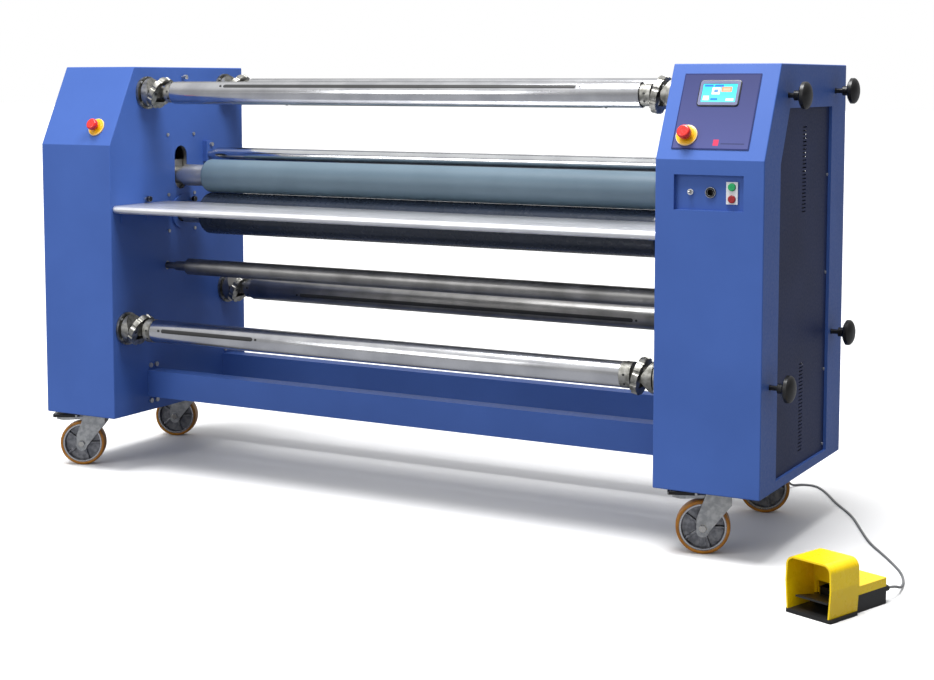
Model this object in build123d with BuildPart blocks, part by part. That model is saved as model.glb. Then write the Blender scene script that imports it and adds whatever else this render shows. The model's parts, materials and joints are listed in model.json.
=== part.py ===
from build123d import *
import math
import os

# Cold roll laminator for wide sheet and vinyl graphics.
# Millimetres, +Z up.  X runs along the rollers, the operator stands at -Y.
# The origin is on the floor, at the middle of the two cabinets' footprint.

# ---- driving dimensions: cabinets -------------------------------------------
overall_width = 2200
cabinet_depth = 624
left_width = 257
right_width = 269
cabinet_bottom = 164
cabinet_top = 1178
slope_foot = 954
slope_setback = 111
sheet = 2.5
bend_radius = 3
plate_thickness = 12

# ---- rollers and shafts: (y, z) of each axis ---------------------------------
upper_roller_axis = (6, 856)
upper_roller_radius = 49
lower_roller_radius = 61.5
sleeve_wall = 9
sleeve_clear = 105
sleeve_rounding = 12
nip_gap = 0.4
roller_lift = 55
journal_radius = 26
hub_radius = 32
stub_radius = 20
air_shafts = {
    "upper_front": (-148, 1103),
    "upper_rear": (222, 1112),
    "lower_front": (-252, 422),
    "lower_rear": (224, 493),
}
collar_radii = {"upper_front": 28, "upper_rear": 28, "lower_front": 33.5, "lower_rear": 28}
upper_idler_axis = (126, 914)
upper_idler_radius = 22
upper_idler_clear = 50
lower_idler_axis = (-62, 588.5)
lower_idler_radius = 24
lower_idler_clear = 79
tube_radius = 32.5

# ---- feed table and beams ------------------------------------------------------
table_top = 781
table_nose = 10.5
table_front = -304
table_back = -58
beam_height = 78
beam_depth = 50
beam_bottom = 207
beam_fronts = (-162, 198)

# ---- casters: swivel axis (x, y) and the way each fork trails at rest ----------
wheel_radius = 66
wheel_trail = 38
casters = {
    "front_left": (-995, -220, 30),
    "front_right": (966, -218, 20),
    "rear_left": (-1012, 236, 25),
    "rear_right": (966, 228, 20),
}
braked_casters = ("front_left", "front_right")
brake_pivot = (-28, 140)

# ---- foot switch ------------------------------------------------------------------
pedal_place = (1343.5, -493.0)
pedal_turn = -20
pedal_width = 121
pedal_length = 213
pedal_height = 125
hood_length = 98
rear_width = 100
treadle_pivot = (-18, 22)
treadle_half = 42
gland_x = 40
gland_height = 30
cord_radius = 3

# ---- running fits --------------------------------------------------------------
fit = 0.05
clear = 0.5
gearbox_depth = 110

half_width = overall_width / 2
half_depth = cabinet_depth / 2
left_wall = -half_width + left_width
right_wall = half_width - right_width
walls = {-1: left_wall, 1: right_wall}
nip_drop = upper_roller_radius + nip_gap + lower_roller_radius
lower_roller_axis = (upper_roller_axis[0], upper_roller_axis[1] - nip_drop)
slope_length = math.hypot(slope_setback, cabinet_top - slope_foot)
slope_along = Vector(0, slope_setback / slope_length, (cabinet_top - slope_foot) / slope_length)
slope_out = Vector(0, -slope_along.Z, slope_along.Y)

os.makedirs("parts", exist_ok=True)


# ---- small helpers: each adds to, or cuts from, the part that is open -----------
def block(x0, x1, y0, y1, z0, z1, mode=Mode.ADD):
    """Axis-aligned block between two corners."""
    with Locations(((x0 + x1) / 2, (y0 + y1) / 2, (z0 + z1) / 2)):
        Box(abs(x1 - x0), abs(y1 - y0), abs(z1 - z0), mode=mode)


def bar_x(x0, x1, axis, radius, mode=Mode.ADD):
    """Round bar along X about an axis given as (y, z)."""
    with Locations(Location(((x0 + x1) / 2, axis[0], axis[1]), (0, 90, 0))):
        Cylinder(radius, abs(x1 - x0), mode=mode)


def bar_y(x, y0, y1, z, radius, mode=Mode.ADD):
    """Round bar along Y."""
    with Locations(Location((x, (y0 + y1) / 2, z), (90, 0, 0))):
        Cylinder(radius, abs(y1 - y0), mode=mode)


def bar_z(x, y, z0, z1, radius, mode=Mode.ADD):
    """Round bar along Z."""
    with Locations((x, y, (z0 + z1) / 2)):
        Cylinder(radius, abs(z1 - z0), mode=mode)


def slope_plane(lift=0.0):
    """Plane on the sloping front; its x is +X, its y climbs the slope, its z points out."""
    origin = Vector(0, -half_depth, slope_foot) + slope_out * lift
    return Plane(origin=origin, x_dir=(1, 0, 0), z_dir=slope_out)


def save(name, piece):
    """Label a finished piece and write it as the STEP file of its node."""
    piece.part.label = name
    export_step(piece.part, f"parts/{name}.step")


# ---- chuck layout: distances from the cabinet wall towards the web ---------------
housing_face = 8
housing_neck = 14
housing_radius = 47.5
neck_radius = 35
neck_inside = 22
drum_radius = 42
drum_ridge = 40
ring_pivot = 56
ring_radius = 47.5
ring_half = 8
collar_start = {-1: 85, 1: 75}
tongue = 24.6
spindle_radius = 17.5
tube_clear = {-1: 108, 1: 103}
spindle_reach = {-1: 32, 1: 84}
leaf_spans = ((-600, 300), (-543, 558), (-330, 620))
leaf_turn = {"upper_front": 34, "upper_rear": 34, "lower_front": 48, "lower_rear": 70}
ring_lean = {-1: 28, 1: -14}
brake_disc_radius = 36
brake_bell_radius = 47
brake_bell_length = 105

# ---- access panel opening in the outer wall: (y, z) corners ----------------------
panel_outline = ((-199, 188), (-199, 941), (-137, 1073), (197, 1073), (197, 188))
panel_recess = 8
vent_length = 30
vent_height = 3
vent_pitch = 9
vent_groups = ((818, 24), (224, 25))
vent_centre = 3

# ---- switch recess in the right front: x and z limits -----------------------------
recess = (878, 1050, 836, 919)
recess_depth = 12
switch_height = 878
toggle_x = 916
socket_x = 966
button_x = 1019
screen_centre = (960.5, 171)
stop_spots = {"left": (-911.5, 56), "right": (899, 61)}
stop_collar_radius = 26.5
stop_head_radius = 16.5
stop_head_gap = 10
knob_stem_radius = 6
knob_radius = 32.5
knob_shift = {"upper_front": -6}
core_rest_pin = (17, 1149)

flange_radius = 50

# ---- lift guides ------------------------------------------------------------------
guide_centres = (-55, 67)
guide_half = 8
guide_range = (680, 990)
lift_block_half = 45
lift_block_y = (-46.5, 58.5)
lift_block_depth = 40
cylinder_foot = 1002
cylinder_top = 1096


def inside(side, depth):
    """X of a point inside a cabinet, measured outwards from its roller-side wall."""
    return walls[side] + side * depth


def web(side, distance):
    """X of a point between the cabinets, measured from a wall towards the web."""
    return walls[side] - side * distance


def wall_openings(side, x0, x1, slot_half, margin):
    """Cut a wall for the chucks, the roller slot, the lower roller and the idlers."""
    for axis in air_shafts.values():
        bar_x(x0, x1, axis, neck_radius + margin, Mode.SUBTRACT)
    y, z = upper_roller_axis
    low = z - 13
    high = z + roller_lift + 4
    block(x0, x1, y - slot_half, y + slot_half, low, high, Mode.SUBTRACT)
    bar_x(x0, x1, (y, low), slot_half, Mode.SUBTRACT)
    bar_x(x0, x1, (y, high), slot_half, Mode.SUBTRACT)
    bar_x(x0, x1, lower_roller_axis, journal_radius + 4, Mode.SUBTRACT)


def build_cabinet(side):
    """Folded sheet cabinet: front, slope, top, floor and two walls, open at the back."""
    x_wall = walls[side]
    x_out = side * half_width
    x_low = min(x_wall, x_out)
    width = abs(x_out - x_wall)
    outline = (
        (-half_depth, cabinet_bottom),
        (-half_depth, slope_foot),
        (-half_depth + slope_setback, cabinet_top),
        (half_depth, cabinet_top),
        (half_depth, cabinet_bottom),
    )
    cavity_outline = outline[:3] + ((half_depth + sheet, cabinet_top), (half_depth + sheet, cabinet_bottom))
    with BuildPart() as cabinet:
        with BuildSketch(Plane.YZ.offset(x_low)):
            with BuildLine():
                Polyline(*outline, close=True)
            make_face()
        extrude(amount=width)
        # every outer fold but those round the open back has the bend radius of the sheet
        fillet(cabinet.edges().filter_by(lambda e: e.center().Y < half_depth - 1), bend_radius)
        with BuildSketch(Plane.YZ.offset(x_low + sheet)):
            with BuildLine():
                Polyline(*cavity_outline, close=True)
            make_face()
            offset(amount=-sheet, kind=Kind.INTERSECTION)
        extrude(amount=width - 2 * sheet, mode=Mode.SUBTRACT)
        # opening for the access panel, with a lip folded inwards
        with BuildSketch(Plane.YZ.offset(x_out)):
            with BuildLine():
                Polyline(*panel_outline, close=True)
            make_face()
        extrude(amount=-side * (sheet + 1), mode=Mode.SUBTRACT)
        with BuildSketch(Plane.YZ.offset(x_out - side * sheet)):
            with BuildLine():
                Polyline(*panel_outline, close=True)
            make_face()
            offset(amount=sheet, kind=Kind.INTERSECTION)
            with BuildLine():
                Polyline(*panel_outline, close=True)
            make_face(mode=Mode.SUBTRACT)
        extrude(amount=-side * (panel_recess - sheet))
        wall_openings(side, x_wall - side, x_wall + side * (sheet + 0.5), 29, 0.5)
        for axis in (upper_idler_axis, lower_idler_axis):
            bar_x(x_wall - side, x_wall + side * (sheet + 0.5), axis, 13, Mode.SUBTRACT)
        stop_x, stop_u = stop_spots["left" if side < 0 else "right"]
        with BuildSketch(slope_plane(1)):
            with Locations((stop_x, stop_u)):
                Circle(11.5)
        extrude(amount=-(sheet + 3), mode=Mode.SUBTRACT)
        if side > 0:
            x0, x1, z0, z1 = recess
            block(x0 - sheet, x1 + sheet, -half_depth + 1, -half_depth + recess_depth + sheet,
                  z0 - sheet, z1 + sheet)
            block(x0, x1, -half_depth - 1, -half_depth + recess_depth, z0, z1, Mode.SUBTRACT)
            bar_y(toggle_x, -half_depth, -half_depth + 40, switch_height, 6, Mode.SUBTRACT)
            bar_y(socket_x, -half_depth, -half_depth + 40, switch_height, 11, Mode.SUBTRACT)
            block(button_x - 11, button_x + 11, -half_depth, -half_depth + 40,
                  switch_height - 24, switch_height + 24, Mode.SUBTRACT)
            with BuildSketch(slope_plane(1)):
                with Locations(screen_centre):
                    Rectangle(91, 55)
            extrude(amount=-(sheet + 3), mode=Mode.SUBTRACT)
            for axis in air_shafts.values():
                bar_x(x_out - sheet - 1, x_out + 1, axis, knob_stem_radius + 1.5, Mode.SUBTRACT)
    return cabinet


def build_side_plates():
    """Two thick steel plates behind the roller-side walls; they carry every bearing."""
    with BuildPart() as plates:
        for side in (-1, 1):
            x0 = inside(side, sheet)
            x1 = inside(side, sheet + plate_thickness)
            with BuildSketch(Plane.YZ.offset(min(x0, x1))):
                with BuildLine():
                    Polyline((-305, 174), (-305, 935), (-195, 1160), (295, 1160), (295, 174), close=True)
                make_face()
            extrude(amount=plate_thickness)
            wall_openings(side, x0 - side, x1 + side, 30, 0.5)
            for axis in (upper_idler_axis, lower_idler_axis):
                bar_x(x0 - side, x1 + side, axis, 10 + fit, Mode.SUBTRACT)
    return plates


def build_cover_panels():
    """Recessed access panels with vents in the outer walls, and flat covers at the back."""
    with BuildPart() as panels:
        for side in (-1, 1):
            x_face = side * (half_width - panel_recess)
            with BuildSketch(Plane.YZ.offset(x_face)):
                with BuildLine():
                    Polyline(*panel_outline, close=True)
                make_face()
                offset(amount=12, kind=Kind.INTERSECTION)
                for base, count in vent_groups:
                    middle = base + vent_pitch * (count - 1) / 2
                    with Locations((vent_centre, middle)):
                        with GridLocations(1, vent_pitch, 1, count):
                            SlotOverall(vent_length, vent_height, mode=Mode.SUBTRACT)
            extrude(amount=-side * 2)
            x_low = min(walls[side], side * half_width) + sheet + clear
            x_high = max(walls[side], side * half_width) - sheet - clear
            z_low = cabinet_bottom + sheet + clear
            z_high = cabinet_top - sheet - clear
            block(x_low, x_high, half_depth - 2, half_depth, z_low, z_high)
            for z in (300, 900):
                for step in range(12):
                    block((x_low + x_high) / 2 - 40, (x_low + x_high) / 2 + 40, half_depth - 3,
                          half_depth + 1, z + 12 * step, z + 12 * step + 4, Mode.SUBTRACT)
        bar_y(cord_start[0], half_depth - 3, half_depth + 1, cord_start[2], 6, Mode.SUBTRACT)
        # every knob stem that crosses the access panel passes through a clear hole
        for axis in air_shafts.values():
            bar_x(half_width - panel_recess - 4, half_width, axis, knob_stem_radius + 1.5, Mode.SUBTRACT)
    return panels


def build_cross_beams():
    """Two box-section beams tie the cabinets together near the floor."""
    with BuildPart() as beams:
        for front in beam_fronts:
            block(left_wall, right_wall, front, front + beam_depth, beam_bottom, beam_bottom + beam_height)
            block(left_wall - 1, right_wall + 1, front + 3, front + beam_depth - 3,
                  beam_bottom + 3, beam_bottom + beam_height - 3, Mode.SUBTRACT)
    return beams


def build_control_plate():
    """Thin printed plate on the right slope, round the screen and the stop button."""
    with BuildPart() as plate:
        with BuildSketch(slope_plane()):
            with Locations((961.5, 124.5)):
                RectangleRounded(191, 197, 3)
            with Locations(screen_centre):
                Rectangle(91, 55, mode=Mode.SUBTRACT)
            with Locations(stop_spots["right"]):
                Circle(11.5, mode=Mode.SUBTRACT)
        extrude(amount=1.5)
    return plate


def build_touch_screen():
    """Touch screen: a bezel on the plate and a body that reaches through the slope."""
    with BuildPart() as screen:
        with BuildSketch(slope_plane(1.5)):
            with Locations(screen_centre):
                RectangleRounded(99, 63, 5)
        extrude(amount=3)
        with BuildSketch(slope_plane(4.5)):
            with Locations(screen_centre):
                Rectangle(86, 48)
        extrude(amount=-0.8, mode=Mode.SUBTRACT)
        with BuildSketch(slope_plane(1.5)):
            with Locations(screen_centre):
                Rectangle(90, 54)
        extrude(amount=-24)
    return screen


def build_switch_bezels():
    """Stop-button collars, the round socket, the push-button bezel and the toggle bush."""
    with BuildPart() as bezels:
        for name, spot in stop_spots.items():
            seat = 1.5 if name == "right" else 0
            with BuildSketch(slope_plane(seat)):
                with Locations(spot):
                    Circle(stop_collar_radius)
                    Circle(8.5, mode=Mode.SUBTRACT)
            extrude(amount=3)
            with BuildSketch(slope_plane(seat)):
                with Locations(spot):
                    Circle(11)
                    Circle(8.5, mode=Mode.SUBTRACT)
            extrude(amount=-26)
        floor = -half_depth + recess_depth
        bar_y(socket_x, floor - 4, floor, switch_height, 12.5)
        bar_y(socket_x, floor, floor + 24, switch_height, 10.5)
        bar_y(socket_x, floor - 5, floor + 14, switch_height, 8, Mode.SUBTRACT)
        block(button_x - 14, button_x + 14, floor - 4, floor, switch_height - 26, switch_height + 26)
        block(button_x - 10.5, button_x + 10.5, floor, floor + 30, switch_height - 21, switch_height + 21)
        for z in (switch_height + 14, switch_height - 14):
            bar_y(button_x, floor - 5, floor + 10, z, 9.5, Mode.SUBTRACT)
        bar_y(toggle_x, floor - 4, floor, switch_height, 7)
        bar_y(toggle_x, floor, floor + 16, switch_height, 5.5)
        with Locations((toggle_x, floor + 2, switch_height)):
            Sphere(4.2, mode=Mode.SUBTRACT)
        with Locations(Location((toggle_x, floor - 2, switch_height), (90, 0, 0))):
            Cone(2.4, 5.2, 8, mode=Mode.SUBTRACT)
    return bezels


def build_feed_table():
    """Aluminium feed table: a rounded nose, a T-groove and a plate with a folded back edge."""
    nose = table_nose
    with BuildPart() as table:
        with BuildSketch(Plane.YZ.offset(left_wall + 1)):
            with Locations((table_front + 14, table_top - nose)):
                Rectangle(12, 2 * nose)
            with Locations((table_front + nose, table_top - nose)):
                Circle(nose)
                Rectangle(nose, 2 * nose, align=(Align.MIN, Align.CENTER))
            with Locations(((table_front + 20 + table_back) / 2, table_top - 2.5)):
                Rectangle(table_back - table_front - 20, 5)
            with Locations((table_back - 2, table_top - 10)):
                Rectangle(4, 20)
            with Locations((table_front + 34, table_top)):
                Rectangle(6, 4, mode=Mode.SUBTRACT)
            with Locations((table_front + 100, table_top - 9), (table_front + 180, table_top - 9)):
                Rectangle(4, 10)
        extrude(amount=right_wall - left_wall - 2)
    return table


def build_support_brackets():
    """Angle brackets under the table, the upper idler's end blocks and the lower roller's flanges."""
    with BuildPart() as brackets:
        for side in (-1, 1):
            x0 = walls[side]
            for y0 in (-270, -160):
                block(x0, web(side, 4), y0, y0 + 60, table_top - 50, table_top - 21)
                block(x0, web(side, 34), y0, y0 + 60, table_top - 25, table_top - 21)
            y, z = upper_idler_axis
            block(x0, web(side, 16), y - 14, y + 14, z - 22, z + 40)
            bar_x(x0 + side, web(side, 17), upper_idler_axis, 10 + clear, Mode.SUBTRACT)
            bar_x(x0, web(side, 6), lower_roller_axis, flange_radius)
            bar_x(x0 + side, web(side, 7), lower_roller_axis, journal_radius + 4, Mode.SUBTRACT)
    return brackets


def build_chuck_housings():
    """Eight flanged bearing housings on the walls; each neck reaches through to the plate."""
    with BuildPart() as housings:
        for side in (-1, 1):
            for axis in air_shafts.values():
                bar_x(walls[side], web(side, housing_face), axis, housing_radius)
                bar_x(inside(side, neck_inside), web(side, housing_neck), axis, neck_radius)
                bar_x(inside(side, neck_inside + 1), web(side, housing_neck + 1), axis,
                      spindle_radius + fit, Mode.SUBTRACT)
    return housings


def build_roller_supports():
    """Lift guides, air cylinders and the fixed bearing blocks of the lower roller."""
    with BuildPart() as supports:
        for side in (-1, 1):
            face = sheet + plate_thickness
            x0 = inside(side, face)
            x1 = inside(side, face + 2.5 + lift_block_depth)
            for y in guide_centres:
                block(x0, x1, y - guide_half, y + guide_half, *guide_range)
            y0, y1 = lift_block_y
            block(x0, x1, y0, y1, guide_range[0], lower_roller_axis[1] + 45)
            bar_x(x0 - side, x1 + side, lower_roller_axis, stub_radius + fit, Mode.SUBTRACT)
            x_rod = inside(side, face + 2.5 + lift_block_depth / 2)
            y_rod = upper_roller_axis[0]
            block(x0, x1, y0 - 16, y1 + 16, guide_range[1], cylinder_foot)
            bar_z(x_rod, y_rod, cylinder_foot, cylinder_top, 21)
            bar_z(x_rod, y_rod, cylinder_foot + 8, cylinder_top - 8, 16, Mode.SUBTRACT)
            bar_z(x_rod, y_rod, guide_range[1] - 1, cylinder_foot + 9, 6 + fit, Mode.SUBTRACT)
    return supports


def build_lift_blocks():
    """Sliding bearing blocks of the upper roller, each with its cylinder rod and piston."""
    with BuildPart() as blocks:
        for side in (-1, 1):
            face = sheet + plate_thickness + 2.5
            y0, y1 = lift_block_y
            z = upper_roller_axis[1]
            block(inside(side, face), inside(side, face + lift_block_depth), y0 + clear, y1 - clear,
                  z - lift_block_half, z + lift_block_half)
            bar_x(inside(side, face - 1), inside(side, face + lift_block_depth + 1), upper_roller_axis,
                  stub_radius + fit, Mode.SUBTRACT)
            x_rod = inside(side, face + lift_block_depth / 2)
            bar_z(x_rod, upper_roller_axis[0], z + lift_block_half - 1, cylinder_foot + 18, 6)
            bar_z(x_rod, upper_roller_axis[0], cylinder_foot + 9, cylinder_foot + 19, 16 - clear)
    return blocks


def build_roller_core(axis, radius, left_reach, right_reach):
    """Steel roller core: a bar under the sleeve, a hub, thick journals and bearing stubs."""
    stub_start = sheet + plate_thickness - 0.5
    hub_clear = 22
    with BuildPart() as core:
        bar_x(web(-1, sleeve_clear + 4), web(1, sleeve_clear + 4), axis, radius - sleeve_wall)
        bar_x(web(-1, hub_clear), web(1, hub_clear), axis, hub_radius)
        bar_x(inside(-1, stub_start), inside(1, stub_start), axis, journal_radius)
        bar_x(inside(-1, left_reach), inside(1, right_reach), axis, stub_radius)
    return core


def build_roller_sleeve(axis, radius):
    """Silicone sleeve with rounded ends, shrunk on the core."""
    x0 = web(-1, sleeve_clear)
    x1 = web(1, sleeve_clear)
    with BuildPart() as sleeve:
        bar_x(x0, x1, axis, radius)
        fillet(sleeve.edges().filter_by(GeomType.CIRCLE), sleeve_rounding)
        bar_x(x0 - 1, x1 + 1, axis, radius - sleeve_wall + 0.02, Mode.SUBTRACT)
    return sleeve


def build_drive_motor():
    """Hollow-shaft gearmotor on the lower roller's left stub, motor hanging downwards."""
    x0 = inside(-1, sheet + plate_thickness + 2.5 + lift_block_depth)
    x1 = x0 - gearbox_depth
    y, z = lower_roller_axis
    x_motor = (x0 + x1) / 2
    with BuildPart() as motor:
        block(x0, x1, y - 58, y + 58, z - 62, z + 58)
        fillet(motor.edges().filter_by(Axis.X), 10)
        bar_x(x0 + 1, x1 - 1, lower_roller_axis, stub_radius + fit, Mode.SUBTRACT)
        bar_z(x_motor, y, z - 74, z - 62, 39)
        bar_z(x_motor, y, z - 240, z - 74, 52)
        bar_z(x_motor, y, z - 262, z - 240, 46)
        block(x_motor - 30, x_motor + 30, y - 92, y - 40, z - 190, z - 110)
    return motor


def build_electrical_box():
    """Control box on the right cabinet's floor, with its hinged lid closed."""
    with BuildPart() as box:
        block(880, 1060, -170, 130, cabinet_bottom + sheet, 400)
        fillet(box.edges().filter_by(Axis.Z), 6)
        block(1060, 1066, -164, 124, cabinet_bottom + sheet + 6, 394)
        block(886, 1054, -164, 124, cabinet_bottom + sheet + 6, 394, Mode.SUBTRACT)
        block(892, 900, -150, 110, 190, 380)
    return box


def build_brake_units():
    """Four bell housings in the right cabinet; each closes round a shaft's brake disc."""
    face = sheet + plate_thickness
    with BuildPart() as bells:
        for axis in air_shafts.values():
            bar_x(inside(1, face), inside(1, brake_bell_length), axis, brake_bell_radius)
            bar_x(inside(1, face - 1), inside(1, brake_bell_length - 8), axis,
                  brake_bell_radius - 6, Mode.SUBTRACT)
            bar_x(inside(1, face), inside(1, brake_bell_length + 1), axis,
                  knob_stem_radius + fit, Mode.SUBTRACT)
    return bells


def build_air_shaft(axis, collar_radius, first_turn):
    """Core shaft with its leaf strips and end tongues, and the two chuck spindles."""
    y, z = axis
    with BuildPart() as shaft:
        ends = {side: web(side, tube_clear[side]) for side in (-1, 1)}
        bar_x(ends[-1], ends[1], axis, tube_radius)
        fillet(shaft.edges().filter_by(GeomType.CIRCLE), 2)
        bar_x(ends[-1] + 30, ends[1] - 30, axis, tube_radius - 6, Mode.SUBTRACT)
        for step, (x0, x1) in enumerate(leaf_spans):
            turn = math.radians(first_turn + 120 * step)
            out = Vector(0, math.cos(turn), math.sin(turn))
            leaf = Plane(origin=Vector((x0 + x1) / 2, y, z) + out * tube_radius, x_dir=(1, 0, 0), z_dir=out)
            with BuildSketch(leaf):
                Rectangle(x1 - x0, 9)
            extrude(amount=-2.5, mode=Mode.SUBTRACT)
            with BuildSketch(leaf.offset(-2.4)):
                Rectangle(x1 - x0 - 1, 8)
            extrude(amount=2)
        for side in (-1, 1):
            bar_x(web(side, collar_start[side]), ends[side], axis, collar_radius)
            half = tongue / 2
            block(web(side, drum_ridge + 4), web(side, collar_start[side]),
                  y - half, y + half, z - half, z + half)
        add(build_spindles(axis).part)
    return shaft


def build_spindles(axis):
    """Chuck spindles: bearing journal, drum cut like a roof, and a head with a square socket."""
    y, z = axis
    with BuildPart() as spindles:
        for side in (-1, 1):
            bar_x(inside(side, spindle_reach[side]), web(side, housing_neck + 1), axis, spindle_radius)
            bar_x(web(side, housing_neck + 0.5), web(side, drum_ridge), axis, drum_radius)
            for flip in (-1, 1):
                run = drum_radius + 2
                drop = run * math.tan(math.radians(31))
                with BuildSketch(Plane.XZ.offset(-(y + drum_radius + 1))):
                    with BuildLine():
                        Polyline(
                            (web(side, drum_ridge + 1), z + flip * 6),
                            (web(side, drum_ridge - drop), z + flip * (6 + run)),
                            (web(side, drum_ridge + 1), z + flip * (6 + run)),
                            close=True,
                        )
                    make_face()
                extrude(amount=2 * drum_radius + 2, mode=Mode.SUBTRACT)
            block(web(side, drum_ridge - 1), web(side, ring_pivot + 12), y - 20, y + 20, z - 15, z + 15)
            half = tongue / 2 + 0.1
            block(web(side, drum_ridge + 3.9), web(side, ring_pivot + 13), y - half, y + half,
                  z - half, z + 16, Mode.SUBTRACT)
            if side > 0:
                bar_x(inside(1, 76), inside(1, 84), axis, brake_disc_radius)
            else:
                bar_x(inside(-1, neck_inside + 1), inside(-1, neck_inside + 10), axis, 26)
    return spindles


def ring_plane(side, axis):
    """Plane of a chuck's locking ring at rest, leaning about its cross pin."""
    lean = math.radians(ring_lean[side])
    return Plane(
        origin=(web(side, ring_pivot), axis[0], axis[1]),
        x_dir=(0, 1, 0),
        z_dir=(-side * math.cos(lean), 0, -math.sin(lean)),
    )


def build_chuck_ring(side, axis):
    """Locking ring: a fluted disc with a window that folds over the spindle head."""
    plane = ring_plane(side, axis)
    with BuildPart() as ring:
        with BuildSketch(plane):
            Circle(ring_radius)
            with PolarLocations(ring_radius + 5, 10, start_angle=18):
                Circle(8, mode=Mode.SUBTRACT)
            Rectangle(41, 54, mode=Mode.SUBTRACT)
        extrude(amount=ring_half, both=True)
    return ring


def build_idler(axis, radius, tube_start):
    """Idler roller: a plain tube on two journals that run in the side plates."""
    with BuildPart() as idler:
        bar_x(web(-1, tube_start), web(1, tube_start), axis, radius)
        fillet(idler.edges().filter_by(GeomType.CIRCLE), 1.5)
        bar_x(web(-1, 34), web(1, 34), axis, 14)
        bar_x(inside(-1, sheet + plate_thickness), inside(1, sheet + plate_thickness), axis, 10)
    return idler


def build_tension_knob(axis, shift=0):
    """Round hand knob, its stem and the pressure plate inside the brake bell."""
    x = half_width + shift
    r = knob_radius
    with BuildPart() as knob:
        bar_x(inside(1, 85), inside(1, 91), axis, 28)
        bar_x(inside(1, 91), x + 20, axis, knob_stem_radius)
        bar_x(x + 20, x + 36, axis, 12)
        with BuildSketch(Plane.XZ.offset(-axis[0])):
            with BuildLine():
                Polyline((x + 36, axis[1]), (x + 36, axis[1] + r - 8), (x + 41, axis[1] + r),
                         (x + 49, axis[1] + r))
                Spline((x + 49, axis[1] + r), (x + 58, axis[1] + r - 12), (x + 61, axis[1]),
                       tangents=((0.4, -0.2), (0, -1)))
                Line((x + 61, axis[1]), (x + 36, axis[1]))
            make_face()
        revolve(axis=Axis((0, axis[0], axis[1]), (1, 0, 0)))
    return knob


def build_stop_head(name):
    """Mushroom head of an emergency stop, with its plunger."""
    seat = 4.5 if name == "right" else 3
    with BuildPart() as head:
        with BuildSketch(slope_plane(seat + stop_head_gap)):
            with Locations(stop_spots[name]):
                Circle(stop_head_radius)
        extrude(amount=16)
        fillet(head.faces().sort_by(SortBy.DISTANCE)[-1].edges(), 5)
        with BuildSketch(slope_plane(seat + stop_head_gap)):
            with Locations(stop_spots[name]):
                Circle(8.3)
        extrude(amount=-(seat + stop_head_gap + 19))
    return head


def build_toggle():
    """Toggle switch lever: a ball in the bush and a slim tapered bat."""
    floor = -half_depth + recess_depth
    with BuildPart() as toggle:
        with Locations((toggle_x, floor + 2, switch_height)):
            Sphere(4)
        with Locations(Location((toggle_x, floor - 5, switch_height), (90, 0, 0))):
            Cone(1.8, 2.6, 14)
        with Locations((toggle_x, floor - 12, switch_height)):
            Sphere(2.8)
    return toggle


def build_push_button(z):
    """One round push button in the double bezel."""
    floor = -half_depth + recess_depth
    with BuildPart() as button:
        bar_y(button_x, floor - 8, floor + 4, z, 9)
        fillet(button.faces().sort_by(Axis.Y)[0].edges(), 1.5)
    return button


def side_view(name, shift=0.0):
    """Vertical plane through a caster's swivel axis; x runs against the trail, y is up."""
    x, y, turn = casters[name]
    c = math.cos(math.radians(turn))
    s = math.sin(math.radians(turn))
    return Plane(origin=(x + s * shift, y - c * shift, 0), x_dir=(c, s, 0), z_dir=(s, -c, 0))


def build_caster_plates():
    """Top plates of the four casters, each with the fixed half of its ball race."""
    with BuildPart() as plates:
        for x, y, turn in casters.values():
            block(x - 52, x + 52, y - 42, y + 42, cabinet_bottom - 5, cabinet_bottom)
            bar_z(x, y, cabinet_bottom - 12, cabinet_bottom - 5, 31)
            bar_z(x, y, cabinet_bottom - 26, cabinet_bottom - 12, 6)
            bar_z(x, y, cabinet_bottom - 26, cabinet_bottom - 19, 10)
            for dx in (-40, 40):
                for dy in (-30, 30):
                    bar_z(x + dx, y + dy, cabinet_bottom - 10, cabinet_bottom - 5, 7)
    return plates


def build_caster_fork(name):
    """Pressed steel fork: a round head, two legs to the axle, and the axle bolt."""
    outer = 29
    inner = 25
    head = cabinet_bottom - 12.5
    with BuildPart() as fork:
        with BuildSketch(side_view(name)):
            with BuildLine():
                Polyline((-30, head), (31, head), (31, head - 26), (-wheel_trail + 15, wheel_radius - 8),
                         (-wheel_trail - 15, wheel_radius - 8), (-wheel_trail - 15, wheel_radius + 24),
                         close=True)
            make_face()
            with Locations((-wheel_trail, wheel_radius - 6)):
                Circle(15.5)
        extrude(amount=outer, both=True)
        with BuildSketch(side_view(name)):
            with Locations((0, head - 5)):
                Rectangle(200, 200, align=(Align.CENTER, Align.MAX))
        extrude(amount=inner, both=True, mode=Mode.SUBTRACT)
        bar_z(casters[name][0], casters[name][1], head - 4, head, 33)
        bar_z(casters[name][0], casters[name][1], head - 6, head + 1, 6 + fit, Mode.SUBTRACT)
        if name in braked_casters:
            with BuildSketch(side_view(name)):
                with Locations(brake_pivot):
                    Circle(3)
            extrude(amount=outer, both=True)
        with BuildSketch(side_view(name)):
            with Locations((-wheel_trail, wheel_radius)):
                Circle(6)
        extrude(amount=outer + 3, both=True)
        for shift in (outer, -outer - 6):
            with BuildSketch(side_view(name, shift)):
                with Locations((-wheel_trail, wheel_radius)):
                    RegularPolygon(9.5, 6)
            extrude(amount=6)
    return fork


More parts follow.
